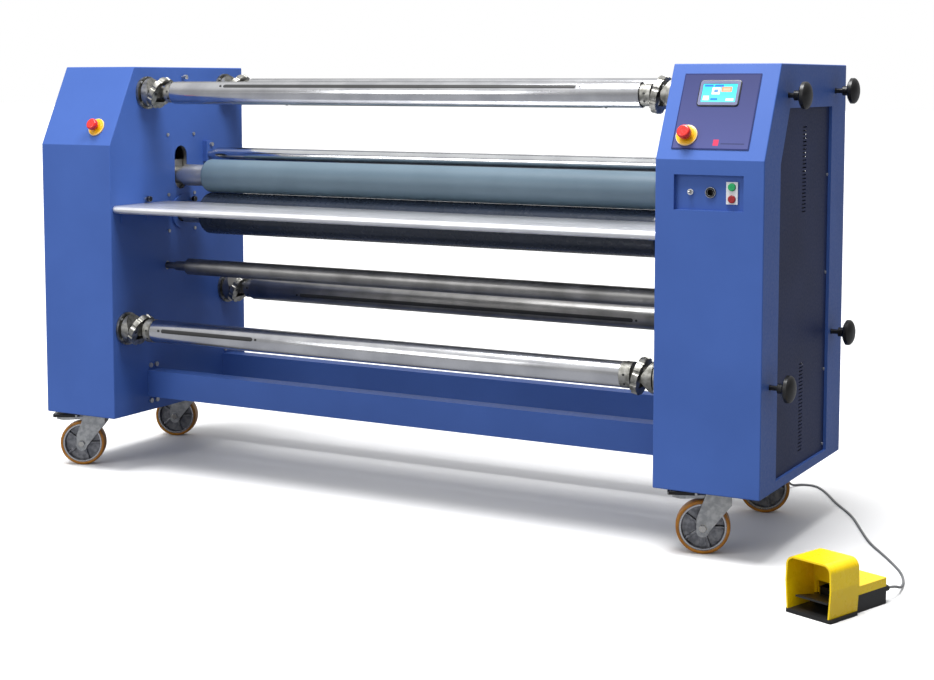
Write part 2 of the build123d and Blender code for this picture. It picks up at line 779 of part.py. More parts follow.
def build_caster_wheel(name):
    """Aluminium wheel core with five windows, and its polyurethane tyre."""
    half = 19
    rim = wheel_radius - 8
    with BuildPart() as wheel:
        with BuildSketch(side_view(name)):
            with Locations((-wheel_trail, wheel_radius)):
                Circle(rim - 0.1)
                Circle(rim - 7, mode=Mode.SUBTRACT)
        extrude(amount=half, both=True)
        with BuildSketch(side_view(name)):
            with Locations((-wheel_trail, wheel_radius)):
                Circle(rim - 6)
        extrude(amount=4, both=True)
        for spoke in range(5):
            turn = math.radians(-90 + 72 * spoke)
            with BuildSketch(side_view(name)):
                with BuildLine():
                    a = math.radians(24)
                    r0 = 22
                    r1 = rim - 9
                    window = [
                        (r * math.cos(turn + k) - wheel_trail, r * math.sin(turn + k) + wheel_radius)
                        for r, k in ((r0, -0.7 * a), (r1, -a), (r1 + 1.5, 0), (r1, a), (r0, 0.7 * a))
                    ]
                    Polyline(*window, close=True)
                make_face()
            extrude(amount=half, both=True, mode=Mode.SUBTRACT)
        with BuildSketch(side_view(name)):
            with Locations((-wheel_trail, wheel_radius)):
                Circle(19)
        extrude(amount=22, both=True)
        with BuildSketch(side_view(name)):
            with Locations((-wheel_trail, wheel_radius)):
                Circle(6 + fit)
        extrude(amount=23, both=True, mode=Mode.SUBTRACT)
        with BuildSketch(side_view(name)):
            with Locations((-wheel_trail, wheel_radius)):
                Circle(wheel_radius)
                Circle(rim, mode=Mode.SUBTRACT)
        extrude(amount=half, both=True)
    return wheel


def build_brake_pedal(name):
    """Brake lever over a front wheel: a zinc-plated lever with a black tread pad."""
    px, pz = brake_pivot
    with BuildPart() as lever:
        with BuildSketch(side_view(name)):
            with BuildLine():
                Polyline((px, pz + 5), (px, pz - 2), (-92, 134), (-112, 138), (-112, 144), (-50, 144),
                         close=True)
            make_face()
            with Locations(brake_pivot):
                Circle(6)
                Circle(3 + fit, mode=Mode.SUBTRACT)
        extrude(amount=17, both=True)
        with BuildSketch(side_view(name)):
            with BuildLine():
                Polyline((-52, 144), (-112, 144), (-124, 145), (-124, 150), (-118, 153), (-56, 150),
                         (-52, 148),
                         close=True)
            make_face()
        extrude(amount=20, both=True)
    return lever


def pedal_plane(x=0.0, y=0.0, z=0.0):
    """Floor plane of the foot switch; x across it, y from its mouth to its cord end."""
    c = math.cos(math.radians(pedal_turn))
    s = math.sin(math.radians(pedal_turn))
    origin = (pedal_place[0] + c * x - s * y, pedal_place[1] + s * x + c * y, z)
    return Plane(origin=origin, x_dir=(c, s, 0), z_dir=(0, 0, 1))


def pedal_front(y=0.0):
    """Upright plane across the foot switch, facing its mouth."""
    base = pedal_plane(0, y, 0)
    return Plane(origin=base.origin, x_dir=base.x_dir, z_dir=-base.y_dir)


def pedal_side(x=0.0):
    """Upright plane along the foot switch: its x runs to the cord end, its y is up."""
    base = pedal_plane(x, 0, 0)
    return Plane(origin=base.origin, x_dir=base.y_dir, z_dir=base.x_dir)



def build_pedal_base():
    """Black base: a floor plate under the hood and the switch box behind it."""
    half = pedal_length / 2
    with BuildPart() as base:
        with BuildSketch(pedal_plane()):
            with Locations((0, -half + hood_length / 2)):
                RectangleRounded(pedal_width - 2, hood_length, 4)
            with Locations((0, half - 60)):
                RectangleRounded(rear_width, 120, 4)
        extrude(amount=9)
        with BuildSketch(pedal_plane(z=9)):
            with Locations((0, half - 56)):
                RectangleRounded(rear_width, 112, 4)
        extrude(amount=29.7)
        with BuildSketch(pedal_plane(z=12)):
            with Locations((0, half - 56)):
                Rectangle(rear_width - 8, 104)
        extrude(amount=40, mode=Mode.SUBTRACT)
        # two lugs carry the treadle's pin
        y, z = treadle_pivot
        for x in (-treadle_half - 4.5, treadle_half + 0.5):
            with BuildSketch(pedal_side(x)):
                with Locations((y, 8.5)):
                    Rectangle(12, z - 3, align=(Align.CENTER, Align.MIN))
                with Locations((y, z)):
                    Circle(6)
            extrude(amount=4)
        with BuildSketch(pedal_side(-treadle_half - 4)):
            with Locations(treadle_pivot):
                Circle(2.5)
        extrude(amount=2 * treadle_half + 8)
        gland = pedal_front(half + 1)
        with BuildSketch(gland):
            with Locations((gland_x, gland_height)):
                Circle(5.5)
        extrude(amount=8, mode=Mode.SUBTRACT)
    return base


def build_pedal_hood():
    """Yellow guard: an arch open at the front, and the lid over the switch box."""
    half = pedal_length / 2
    with BuildPart() as hood:
        with BuildSketch(pedal_front(-half)):
            with BuildLine():
                Polyline((-56, 9.2), (-60.5, 70), (-58, pedal_height), (58, pedal_height), (60.5, 70),
                         (56, 9.2), close=True)
            make_face()
            fillet(vertices().group_by(Axis.Y)[-1], 20)
        extrude(amount=-hood_length)
        with BuildSketch(pedal_front(-half - 1)):
            with BuildLine():
                Polyline((-52, 9), (-56.5, 70), (-54, pedal_height - 4), (54, pedal_height - 4), (56.5, 70),
                         (52, 9), close=True)
            make_face()
            fillet(vertices().group_by(Axis.Y)[-1], 16)
        extrude(amount=-(hood_length - 3), mode=Mode.SUBTRACT)
        with BuildSketch(pedal_front(-half + hood_length - 4)):
            with Locations((0, 8)):
                Rectangle(96, 44, align=(Align.CENTER, Align.MIN))
        extrude(amount=-6, mode=Mode.SUBTRACT)
        # collar that closes the slit between the arch and the switch box
        with BuildSketch(pedal_front(-half + hood_length)):
            with Locations((0, 9.2)):
                Rectangle(rear_width - 1, 40, align=(Align.CENTER, Align.MIN))
            with Locations((0, 8)):
                Rectangle(rear_width - 12, 30, align=(Align.CENTER, Align.MIN), mode=Mode.SUBTRACT)
        extrude(amount=-2.7)
        with BuildSketch(pedal_plane(z=39)):
            with Locations((0, half - 58)):
                RectangleRounded(rear_width, 116, 4)
        extrude(amount=19)
        with BuildSketch(pedal_plane(z=38)):
            with Locations((0, half - 62)):
                Rectangle(rear_width - 8, 116)
        extrude(amount=16, mode=Mode.SUBTRACT)
    return hood


def build_foot_treadle():
    """Treadle plate under the hood, with a rolled knuckle at its rear end."""
    y, z = treadle_pivot
    with BuildPart() as treadle:
        with BuildSketch(pedal_side(-treadle_half)):
            with BuildLine():
                Polyline((-94, 35), (-94, 39), (y - 3, z + 5), (y, z), (y - 3, z), close=True)
            make_face()
            with Locations((y, z)):
                Circle(5)
                Circle(2.5 + fit, mode=Mode.SUBTRACT)
        extrude(amount=2 * treadle_half)
    return treadle


def build_cord_glands():
    """Cord glands: one on the right back cover, one at the rear of the foot switch."""
    half = pedal_length / 2
    with BuildPart() as glands:
        x, y, z = cord_start
        bar_y(x, half_depth, y, z, 7)
        bar_y(x, half_depth - 12, half_depth, z, 5.5)
        bar_y(x, half_depth - 13, y + 1, z, cord_radius, Mode.SUBTRACT)
        with BuildSketch(pedal_front(half)):
            with Locations((gland_x, gland_height)):
                Circle(7)
        extrude(amount=-14)
        with BuildSketch(pedal_front(half)):
            with Locations((gland_x, gland_height)):
                Circle(5.2)
        extrude(amount=10)
        with BuildSketch(pedal_front(half + 15)):
            with Locations((gland_x, gland_height)):
                Circle(cord_radius)
        extrude(amount=30, mode=Mode.SUBTRACT)
    return glands


def build_pedal_cord():
    """Foot-switch cord: straight runs joined by tangent arcs."""
    radii = []
    for before, here, after in zip(cord_route, cord_route[1:], cord_route[2:]):
        into = Vector(*here) - Vector(*before)
        out = Vector(*after) - Vector(*here)
        turn = into.get_angle(out)
        shorter = min(into.length, out.length)
        radii.append(0.45 * shorter / math.tan(math.radians(turn) / 2))
    print("cord arc radii", [round(r) for r in radii])
    start_direction = Vector(*cord_route[1]) - Vector(*cord_route[0])
    with BuildPart() as cord:
        with BuildLine() as path:
            FilletPolyline(*cord_route, radius=radii)
        with BuildSketch(Plane(origin=cord_route[0], z_dir=start_direction)):
            Circle(cord_radius)
        sweep(path=path.wires()[0])
    length = path.wires()[0].length
    section = math.pi * cord_radius**2
    print("cord length", round(length), "volume ratio", round(cord.part.volume / (section * length), 4))
    return cord


def build_fasteners():
    """Visible screws: guide, beam and panel screws, thumb screws and flange screws."""
    with BuildPart() as screws:
        for side in (-1, 1):
            x0 = walls[side]
            for y in guide_centres:
                for z in (691, 799, 978):
                    bar_x(x0, web(side, 3.5), (y, z), 5)
            for front in beam_fronts:
                for y in (front + 12, front + 38):
                    bar_x(x0, web(side, 5), (y, beam_bottom + beam_height + 14), 7)
                    bar_x(x0, web(side, 5), (y, beam_bottom - 14), 7)
            for y, z in ((-160, table_top + 12), (50, table_top)):
                bar_x(x0, web(side, 10), (y, z), 4)
                bar_x(web(side, 10), web(side, 20), (y, z), 8)
            y, z = upper_idler_axis
            bar_x(web(side, 16), web(side, 24), (y + 5, z + 30), 6)
            for axis in air_shafts.values():
                for turn in (45, 135, 225, 315):
                    a = math.radians(turn)
                    spot = (axis[0] + 41 * math.cos(a), axis[1] + 41 * math.sin(a))
                    bar_x(web(side, housing_face), web(side, housing_face + 4), spot, 4)
            x_panel = side * (half_width - panel_recess)
            for y in (-189, 187):
                for z in (205, 400, 650, 900):
                    bar_x(x_panel, x_panel + side * 2.5, (y, z), 4)
            x_low = min(walls[side], side * half_width) + 14
            x_high = max(walls[side], side * half_width) - 14
            for x in (x_low, x_high):
                for z in (180, 500, 840, 1162):
                    bar_y(x, half_depth, half_depth + 2.5, z, 4)
        bar_x(left_wall, web(-1, 10), core_rest_pin, 3)
        bar_x(web(-1, 10), web(-1, 18), core_rest_pin, 7)
    return screws


# ---- cord route: from the back-cover gland over the floor to the foot switch -------
cord_start = (905, 336, 190)
gland_exit = pedal_plane(gland_x, pedal_length / 2 + 14).origin
before_gland = pedal_plane(gland_x, pedal_length / 2 + 40).origin
cord_route = [
    cord_start,
    (905, 372, 190),
    (905, 408, 175),
    (904, 434, 135),
    (903, 452, 80),
    (905, 472, 32),
    (909, 506, 4),
    (928, 540, 3.2),
    (966, 542, 3.2),
    (1000, 505, 3.2),
    (1036, 448, 3.2),
    (1073, 383, 3.2),
    (1111, 328, 3.2),
    (1150, 270, 3.2),
    (1190, 189, 3.2),
    (1228, 107, 3.2),
    (1268, 28, 3.2),
    (1318, -46, 3.2),
    (1364, -118, 3.2),
    (1403, -188, 3.2),
    (1424, -256, 3.2),
    (1432, -314, 9),
    (before_gland.X + 1, before_gland.Y + 6, 27),
    (gland_exit.X, gland_exit.Y, gland_height),
]

for side_name, side_sign in (("left", -1), ("right", 1)):
    save(f"{side_name}_cabinet", build_cabinet(side_sign))
save("side_plates", build_side_plates())
save("cover_panels", build_cover_panels())
save("cross_beams", build_cross_beams())
save("control_plate", build_control_plate())
save("touch_screen", build_touch_screen())
save("switch_bezels", build_switch_bezels())
save("feed_table", build_feed_table())
save("support_brackets", build_support_brackets())
save("chuck_housings", build_chuck_housings())
save("roller_supports", build_roller_supports())
save("lift_blocks", build_lift_blocks())
save("upper_roller_core", build_roller_core(upper_roller_axis, upper_roller_radius, 62, 62))
save("upper_roller_sleeve", build_roller_sleeve(upper_roller_axis, upper_roller_radius))
save("lower_roller_core", build_roller_core(lower_roller_axis, lower_roller_radius, 172, 62))
save("lower_roller_sleeve", build_roller_sleeve(lower_roller_axis, lower_roller_radius))
save("drive_motor", build_drive_motor())
save("electrical_box", build_electrical_box())
save("brake_units", build_brake_units())
for shaft_name, shaft_axis in air_shafts.items():
    save(f"{shaft_name}_shaft", build_air_shaft(shaft_axis, collar_radii[shaft_name], leaf_turn[shaft_name]))
    save(f"{shaft_name}_knob", build_tension_knob(shaft_axis, knob_shift.get(shaft_name, 0)))
    for side_name, side_sign in (("left", -1), ("right", 1)):
        save(f"{shaft_name}_{side_name}_ring", build_chuck_ring(side_sign, shaft_axis))
save("upper_idler", build_idler(upper_idler_axis, upper_idler_radius, upper_idler_clear))
save("lower_idler", build_idler(lower_idler_axis, lower_idler_radius, lower_idler_clear))
for stop_name in stop_spots:
    save(f"{stop_name}_stop_head", build_stop_head(stop_name))
save("toggle_lever", build_toggle())
save("start_button", build_push_button(switch_height + 14))
save("halt_button", build_push_button(switch_height - 14))
save("caster_plates", build_caster_plates())
for caster_name in casters:
    save(f"{caster_name}_fork", build_caster_fork(caster_name))
    save(f"{caster_name}_wheel", build_caster_wheel(caster_name))
for caster_name in braked_casters:
    save(f"{caster_name}_brake", build_brake_pedal(caster_name))
save("pedal_base", build_pedal_base())
save("pedal_hood", build_pedal_hood())
save("foot_treadle", build_foot_treadle())
save("cord_glands", build_cord_glands())
save("pedal_cord", build_pedal_cord())
save("fasteners", build_fasteners())
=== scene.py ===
"""Cold roll laminator: finishes, turned and moulded pieces, the pedal cord and a plain studio.

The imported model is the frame. Every class below owns one sub-assembly: it holds that
sub-assembly's real sizes in metres, builds the meshes which the plain solids lack, and
gives them their finishes.
"""
import json
import logging
import math
from dataclasses import dataclass, field
from enum import Enum
from typing import Mapping, Sequence

import bmesh
import bpy
import numpy as np
from bpy.types import Material, Node, NodeSocket, NodeTree, Object
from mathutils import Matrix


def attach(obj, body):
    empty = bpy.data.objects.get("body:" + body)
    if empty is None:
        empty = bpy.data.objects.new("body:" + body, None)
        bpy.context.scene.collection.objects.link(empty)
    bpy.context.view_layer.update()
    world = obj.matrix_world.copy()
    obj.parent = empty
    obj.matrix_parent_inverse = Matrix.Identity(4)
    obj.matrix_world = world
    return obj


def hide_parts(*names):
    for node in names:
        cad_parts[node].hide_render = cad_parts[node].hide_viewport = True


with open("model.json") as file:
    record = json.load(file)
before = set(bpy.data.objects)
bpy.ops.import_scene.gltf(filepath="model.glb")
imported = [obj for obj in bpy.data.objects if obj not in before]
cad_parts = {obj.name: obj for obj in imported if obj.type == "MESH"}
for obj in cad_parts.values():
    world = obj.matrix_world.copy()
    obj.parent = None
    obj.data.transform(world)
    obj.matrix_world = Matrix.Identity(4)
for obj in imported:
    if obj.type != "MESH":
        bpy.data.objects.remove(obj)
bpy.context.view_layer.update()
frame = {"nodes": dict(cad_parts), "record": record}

Array = np.ndarray
Rgba = tuple[float, float, float, float]
log = logging.getLogger("laminator")


# ---------------------------------------------------------------------------------
# Colour, shader nodes and scale
# ---------------------------------------------------------------------------------
def linear(code: str) -> Rgba:
    """Turn an sRGB hex colour into linear light.

    Args:
        code: Colour such as "#4865AA".

    Returns:
        Red, green, blue and an alpha of one, as the shaders want them.
    """
    parts = np.array([int(code[i:i + 2], 16) for i in (1, 3, 5)]) / 255.0
    light = np.where(parts <= 0.04045, parts / 12.92, ((parts + 0.055) / 1.055) ** 2.4)
    return (float(light[0]), float(light[1]), float(light[2]), 1.0)


def per_metre(millimetres: float) -> float:
    """Texture scale that makes one feature this many millimetres wide."""
    return 1000.0 / millimetres


def add_node(tree: NodeTree, kind: str, settings: Mapping[str, object] | None = None,
             links: Mapping[str, NodeSocket] | None = None) -> Node:
    """Add one shader node with its settings and its incoming links.

    Args:
        tree: The tree that takes the node.
        kind: Blender's class name for the node, without its "ShaderNode" prefix.
        settings: Values by attribute name, or by input name or number.
        links: Sockets to join to this node's inputs, by input name or number.

    Returns:
        The new node.
    """
    made = tree.nodes.new("ShaderNode" + kind)
    for key, value in (settings or {}).items():
        if isinstance(key, str) and hasattr(made, key) and key not in made.inputs:
            setattr(made, key, value)
        else:
            made.inputs[key].default_value = value
    for key, socket in (links or {}).items():
        tree.links.new(socket, made.inputs[key])
    return made


# ---------------------------------------------------------------------------------
# Finishes
# ---------------------------------------------------------------------------------
class Grain(Enum):
    """How a surface was made, which sets the way its fine marks are stretched."""

    EVEN = (1.0, 1.0, 1.0)
    DRAWN = (0.012, 1.0, 1.0)
    TURNED = (1.0, 0.06, 0.06)


@dataclass(frozen=True)
class Finish:
    """A real material and the surface it was given.

    The base colour drifts between two close shades over a few centimetres, the
    roughness drifts with a finer noise, and a shallow bump carries the fine marks.
    """

    name: str
    colour: str
    shade: str
    roughness: tuple[float, float]
    metallic: float = 0.0
    ior: float = 1.5
    grain: Grain = Grain.EVEN
    mark_mm: float = 3.0
    height_mm: float = 0.03
    drift_mm: float = 90.0
    coat: float = 0.0
    subsurface: float = 0.0

    def build(self) -> Material:
        """Make the node material.

        Returns:
            A new material whose shader is fully procedural.
        """
        material = bpy.data.materials.new(self.name)
        material.use_nodes = True
        material.diffuse_color = linear(self.colour)
        tree = material.node_tree
        shader = tree.nodes["Principled BSDF"]
        shader.inputs["Metallic"].default_value = self.metallic
        if self.metallic < 0.5:
            shader.inputs["IOR"].default_value = self.ior
        if self.coat:
            shader.inputs["Coat Weight"].default_value = self.coat
            shader.inputs["Coat Roughness"].default_value = 0.12
        if self.subsurface:
            shader.inputs["Subsurface Weight"].default_value = self.subsurface
            shader.inputs["Subsurface Scale"].default_value = 0.004
        place = add_node(tree, "TexCoord").outputs["Object"]
        self.colour_it(tree, shader, place)
        stretch = add_node(tree, "Mapping", {"Scale": self.grain.value}, {"Vector": place})
        marks = add_node(tree, "TexNoise", {"Scale": per_metre(self.mark_mm), "Detail": 3.0},
                         {"Vector": stretch.outputs[0]})
        rough = add_node(tree, "MapRange", {"From Min": 0.3, "From Max": 0.7,
                                            "To Min": self.roughness[0], "To Max": self.roughness[1]},
                         {"Value": marks.outputs[0]})
        bump = add_node(tree, "Bump", {"Strength": 1.0, "Distance": self.height_mm / 1000.0},
                        {"Height": marks.outputs[0]})
        tree.links.new(rough.outputs[0], shader.inputs["Roughness"])
        tree.links.new(bump.outputs[0], shader.inputs["Normal"])
        return material

    def colour_it(self, tree: NodeTree, shader: Node, place: NodeSocket) -> None:
        """Let the base colour drift between the two shades.

        Args:
            tree: The material's tree.
            shader: Its Principled shader.
            place: Object coordinates in metres.
        """
        drift = add_node(tree, "TexNoise", {"Scale": per_metre(self.drift_mm), "Detail": 4.0},
                         {"Vector": place})
        blend = add_node(tree, "ValToRGB", links={"Fac": drift.outputs[0]})
        blend.color_ramp.elements[0].position = 0.38
        blend.color_ramp.elements[0].color = linear(self.shade)
        blend.color_ramp.elements[1].position = 0.62
        blend.color_ramp.elements[1].color = linear(self.colour)
        tree.links.new(blend.outputs[0], shader.inputs["Base Color"])


@dataclass(frozen=True)
class Patch:
    """One flat area of a printed or lit face, in the face's own 0 to 1 coordinates."""

    left: float
    bottom: float
    right: float
    top: float
    colour: str


@dataclass(frozen=True)
class PrintedFace(Finish):
    """A face that carries plain printed or lit areas on its own UV map."""

    patches: tuple[Patch, ...] = ()
    glow: float = 0.0

    def colour_it(self, tree: NodeTree, shader: Node, place: NodeSocket) -> None:
        """Lay the patches over a gradient from the shade up to the colour.

        A patch covers the points whose u and v both lie between its sides; the four
        comparisons are multiplied into one mask.

        Args:
            tree: The material's tree.
            shader: Its Principled shader.
            place: Object coordinates, which this finish doesn't need.
        """
        chart = add_node(tree, "UVMap", {"uv_map": "face"})
        split = add_node(tree, "SeparateXYZ", links={0: chart.outputs[0]})
        ramp = add_node(tree, "ValToRGB", links={"Fac": split.outputs[1]})
        ramp.color_ramp.elements[0].color = linear(self.shade)
        ramp.color_ramp.elements[1].color = linear(self.colour)
        shown = ramp.outputs[0]
        for patch in self.patches:
            sides = ((0, "GREATER_THAN", patch.left), (0, "LESS_THAN", patch.right),
                     (1, "GREATER_THAN", patch.bottom), (1, "LESS_THAN", patch.top))
            mask = None
            for axis, test, edge in sides:
                side = add_node(tree, "Math", {"operation": test, 1: edge}, {0: split.outputs[axis]})
                if mask is None:
                    mask = side.outputs[0]
                else:
                    both = add_node(tree, "Math", {"operation": "MULTIPLY"}, {0: mask, 1: side.outputs[0]})
                    mask = both.outputs[0]
            layer = add_node(tree, "Mix", {"data_type": "RGBA"})
            tree.links.new(mask, layer.inputs[0])
            tree.links.new(shown, layer.inputs[6])
            layer.inputs[7].default_value = linear(patch.colour)
            shown = layer.outputs[2]
        tree.links.new(shown, shader.inputs["Base Color"])
        if self.glow:
            tree.links.new(shown, shader.inputs["Emission Color"])
            shader.inputs["Emission Strength"].default_value = self.glow


# Powder coat on folded sheet: satin, with the faint orange peel of baked powder.
# Real peel is 1 to 2 mm across; it is drawn at 6 mm so that it shows.
BLUE_COAT = Finish("blue_powder_coat", "#4364AE", "#3F5FA7", (0.38, 0.50), ior=1.33, mark_mm=6.0,
                   height_mm=0.05, drift_mm=300.0)
NAVY_COAT = Finish("navy_powder_coat", "#25315A", "#202B50", (0.42, 0.54), ior=1.27, mark_mm=6.0,
                   height_mm=0.05, drift_mm=250.0)
# Ground and turned bearing steel: bright, with fine rings across its axis.
GROUND_STEEL = Finish("ground_bearing_steel", "#C4C3BF", "#A9A7A2", (0.34, 0.50), 1.0,
                      grain=Grain.TURNED, mark_mm=1.5, height_mm=0.01)
# Extruded and polished core shafts: long drawing lines along the axis.
DRAWN_ALUMINIUM = Finish("drawn_polished_aluminium", "#D2D3D6", "#BFC0C4", (0.14, 0.26), 1.0,
                         grain=Grain.DRAWN, mark_mm=3.0, height_mm=0.02)
TABLE_ALUMINIUM = Finish("anodised_table_extrusion", "#E4E5E8", "#D8D9DD", (0.36, 0.48), 1.0,
                         grain=Grain.DRAWN, mark_mm=4.0, height_mm=0.02)
# Chromed idler tube: almost a mirror, so it draws thin bright and dark lines.
CHROME = Finish("hard_chromed_tube", "#D8DADC", "#C9CBCE", (0.08, 0.16), 1.0, grain=Grain.DRAWN,
                mark_mm=4.0, height_mm=0.01)
# Dark anodised tube of the lower idler and the lower rear shaft: satin graphite.
DARK_ANODISED = Finish("graphite_anodised_tube", "#929190", "#7B7A79", (0.34, 0.46), 1.0,
                       grain=Grain.DRAWN, mark_mm=3.0, height_mm=0.02)
# Sand-cast and machined chuck steel: mottled satin grey.
CAST_STEEL = Finish("machined_chuck_steel", "#A2A19C", "#76756F", (0.34, 0.52), 1.0, mark_mm=2.5,
                    height_mm=0.06, drift_mm=14.0)
ZINC_STEEL = Finish("zinc_plated_steel", "#C3C4C4", "#A4A6A8", (0.28, 0.46), 0.9, mark_mm=4.0,
                    height_mm=0.05, drift_mm=12.0)
# Pressure-roller silicone: matt with a soft sheen, slightly dusty.
PALE_SILICONE = Finish("blue_grey_silicone", "#5A6D7A", "#546774", (0.40, 0.52), ior=1.42,
                       mark_mm=5.0, height_mm=0.03, drift_mm=160.0)
DARK_SILICONE = Finish("slate_silicone", "#2E3646", "#29313F", (0.24, 0.30), ior=1.45,
                       mark_mm=30.0, height_mm=0.02, drift_mm=160.0)
BLACK_RUBBER = Finish("black_leaf_rubber", "#1B1B1C", "#141415", (0.5, 0.62), ior=1.52, mark_mm=2.0)
PHENOLIC = Finish("black_phenolic", "#131314", "#0E0E0F", (0.30, 0.42), ior=1.5, mark_mm=5.0,
                  height_mm=0.02)
MOTOR_ENAMEL = Finish("grey_motor_enamel", "#8D9296", "#7F8488", (0.4, 0.5), mark_mm=4.0)
BOX_ENAMEL = Finish("light_grey_enamel", "#C9CBC8", "#BFC1BE", (0.42, 0.54), mark_mm=4.0)
RED_ABS = Finish("stop_red_abs", "#E0261E", "#D2201A", (0.22, 0.32), ior=1.53, mark_mm=4.0,
                 height_mm=0.01, coat=0.3)
YELLOW_ABS = Finish("stop_yellow_abs", "#F0B808", "#E4AC04", (0.28, 0.38), ior=1.53, mark_mm=4.0,
                    height_mm=0.01)
NICKEL = Finish("nickel_plate", "#CFCDC8", "#BEBCB7", (0.14, 0.22), 1.0, mark_mm=3.0, height_mm=0.01)
GREEN_BUTTON = Finish("green_polycarbonate", "#1FA562", "#189456", (0.2, 0.3), ior=1.58, mark_mm=3.0)
RED_BUTTON = Finish("dark_red_polycarbonate", "#A01E22", "#8C181C", (0.2, 0.3), ior=1.58, mark_mm=3.0)
WHITE_PLASTIC = Finish("white_switch_plastic", "#E4E6E8", "#D9DBDE", (0.3, 0.4), mark_mm=3.0)
BLACK_PLASTIC = Finish("black_switch_plastic", "#17181A", "#101113", (0.3, 0.42), mark_mm=3.0)
SCREEN_PLASTIC = Finish("screen_bezel_plastic", "#6A6E90", "#5F6385", (0.34, 0.44), mark_mm=3.0)
# Cast polyurethane tyre: amber, a little translucent at its edges.
TYRE_PU = Finish("amber_polyurethane", "#BE7E24", "#A86C1A", (0.3, 0.42), ior=1.5, mark_mm=3.0,
                 height_mm=0.04, drift_mm=25.0, subsurface=0.15)
RIM_ALUMINIUM = Finish("turned_wheel_rim", "#D6D6D8", "#C6C6C9", (0.2, 0.3), 1.0, mark_mm=1.5,
                       height_mm=0.01)
CORE_ALUMINIUM = Finish("die_cast_wheel_core", "#9A9B9F", "#77787D", (0.32, 0.5), 0.9, mark_mm=2.0,
                        height_mm=0.06, drift_mm=12.0)
PEDAL_YELLOW = Finish("glossy_yellow_abs", "#FFDC04", "#FBD300", (0.24, 0.32), ior=1.45, mark_mm=30.0,
                      height_mm=0.01, coat=0.25)
PEDAL_BLACK = Finish("black_textured_abs", "#1C1C1D", "#151516", (0.4, 0.55), ior=1.53, mark_mm=2.0,
                     height_mm=0.08)
CORD_PVC = Finish("grey_pvc_sheath", "#7B7C7E", "#707173", (0.36, 0.48), ior=1.53, mark_mm=4.0)
GLAND_NYLON = Finish("black_nylon", "#222326", "#1A1B1D", (0.4, 0.5), mark_mm=2.0)
STUDIO_PAPER = Finish("white_studio_paper", "#F4F4F4", "#F3F3F3", (0.8, 0.9), ior=1.3, mark_mm=40.0,
                      height_mm=0.0, drift_mm=2000.0)
PLATE_PRINT = PrintedFace("printed_polyester_overlay", "#2C3264", "#474D82", (0.40, 0.50), ior=1.3,
                          mark_mm=4.0, height_mm=0.01, patches=(
                              Patch(-1.0, -1.0, 0.014, 2.0, "#14225C"),
                              Patch(0.984, -1.0, 2.0, 2.0, "#14225C"),
                              Patch(-1.0, -1.0, 2.0, 0.016, "#14225C"),
                              Patch(-1.0, 0.984, 2.0, 2.0, "#14225C"),
                              Patch(0.53, 0.05, 0.60, 0.13, "#C8375A"),
                              Patch(0.63, 0.07, 0.93, 0.085, "#30365F"),
                          ))
SCREEN_IMAGE = PrintedFace("backlit_screen", "#35C7DC", "#5AD3E2", (0.12, 0.2), mark_mm=20.0,
                           height_mm=0.0, glow=0.35, patches=(
                               Patch(0.04, 0.84, 0.30, 0.96, "#2A67C9"),
                               Patch(0.34, 0.84, 0.60, 0.96, "#2A67C9"),
                               Patch(0.28, 0.42, 0.52, 0.80, "#EAF4FA"),
                               Patch(0.34, 0.52, 0.46, 0.70, "#5C86C8"),
                               Patch(0.55, 0.56, 0.86, 0.84, "#C98A6A"),
                               Patch(0.60, 0.63, 0.81, 0.77, "#D9A78C"),
                               Patch(0.05, 0.10, 0.22, 0.34, "#EAF6FA"),
                               Patch(0.27, 0.08, 0.48, 0.22, "#2A78CC"),
                               Patch(0.72, 0.06, 0.95, 0.20, "#CFF0F4"),
                           ))

CAD_FINISHES: dict[str, Finish] = {
    "blue_paint": BLUE_COAT, "dark_blue_paint": NAVY_COAT, "machined_steel": GROUND_STEEL,
    "printed_plate": SCREEN_PLASTIC, "screen_housing": SCREEN_PLASTIC, "switch_bodies": WHITE_PLASTIC,
    "table_aluminium": TABLE_ALUMINIUM, "shaft_aluminium": CAST_STEEL, "dark_anodised": DARK_ANODISED,
    "chrome_tube": CHROME, "cast_chuck": CAST_STEEL, "silicone_upper": PALE_SILICONE,
    "silicone_lower": DARK_SILICONE, "motor_grey": MOTOR_ENAMEL, "grey_enamel": BOX_ENAMEL,
    "black_phenolic": PHENOLIC, "stop_red": RED_ABS, "nickel": NICKEL, "button_green": GREEN_BUTTON,
    "button_red": RED_BUTTON, "zinc_steel": ZINC_STEEL, "caster_wheel": CORE_ALUMINIUM,
    "pedal_black": PEDAL_BLACK, "pedal_yellow": PEDAL_YELLOW, "cord_sheath": CORD_PVC,
    "gland_nylon": GLAND_NYLON,
}


@dataclass
class Paintshop:
    """Builds each finish once and hands the same material to every piece that wears it."""

    made: dict[str, Material] = field(default_factory=dict)

    def get(self, finish: Finish) -> Material:
        """Return the finish's material, building it the first time."""
        if finish.name not in self.made:
            self.made[finish.name] = finish.build()
        return self.made[finish.name]

    def dress_nodes(self) -> int:
        """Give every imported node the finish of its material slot.

        Returns:
            How many nodes were dressed.
        """
        rows = frame["record"]["subparts"]
        for row in rows:
            node = frame["nodes"][row["node"]]
            material = self.get(CAD_FINISHES[row["material_slot"]])
            for holder in node.material_slots:
                holder.material = material
        return len(rows)


SHOP = Paintshop()


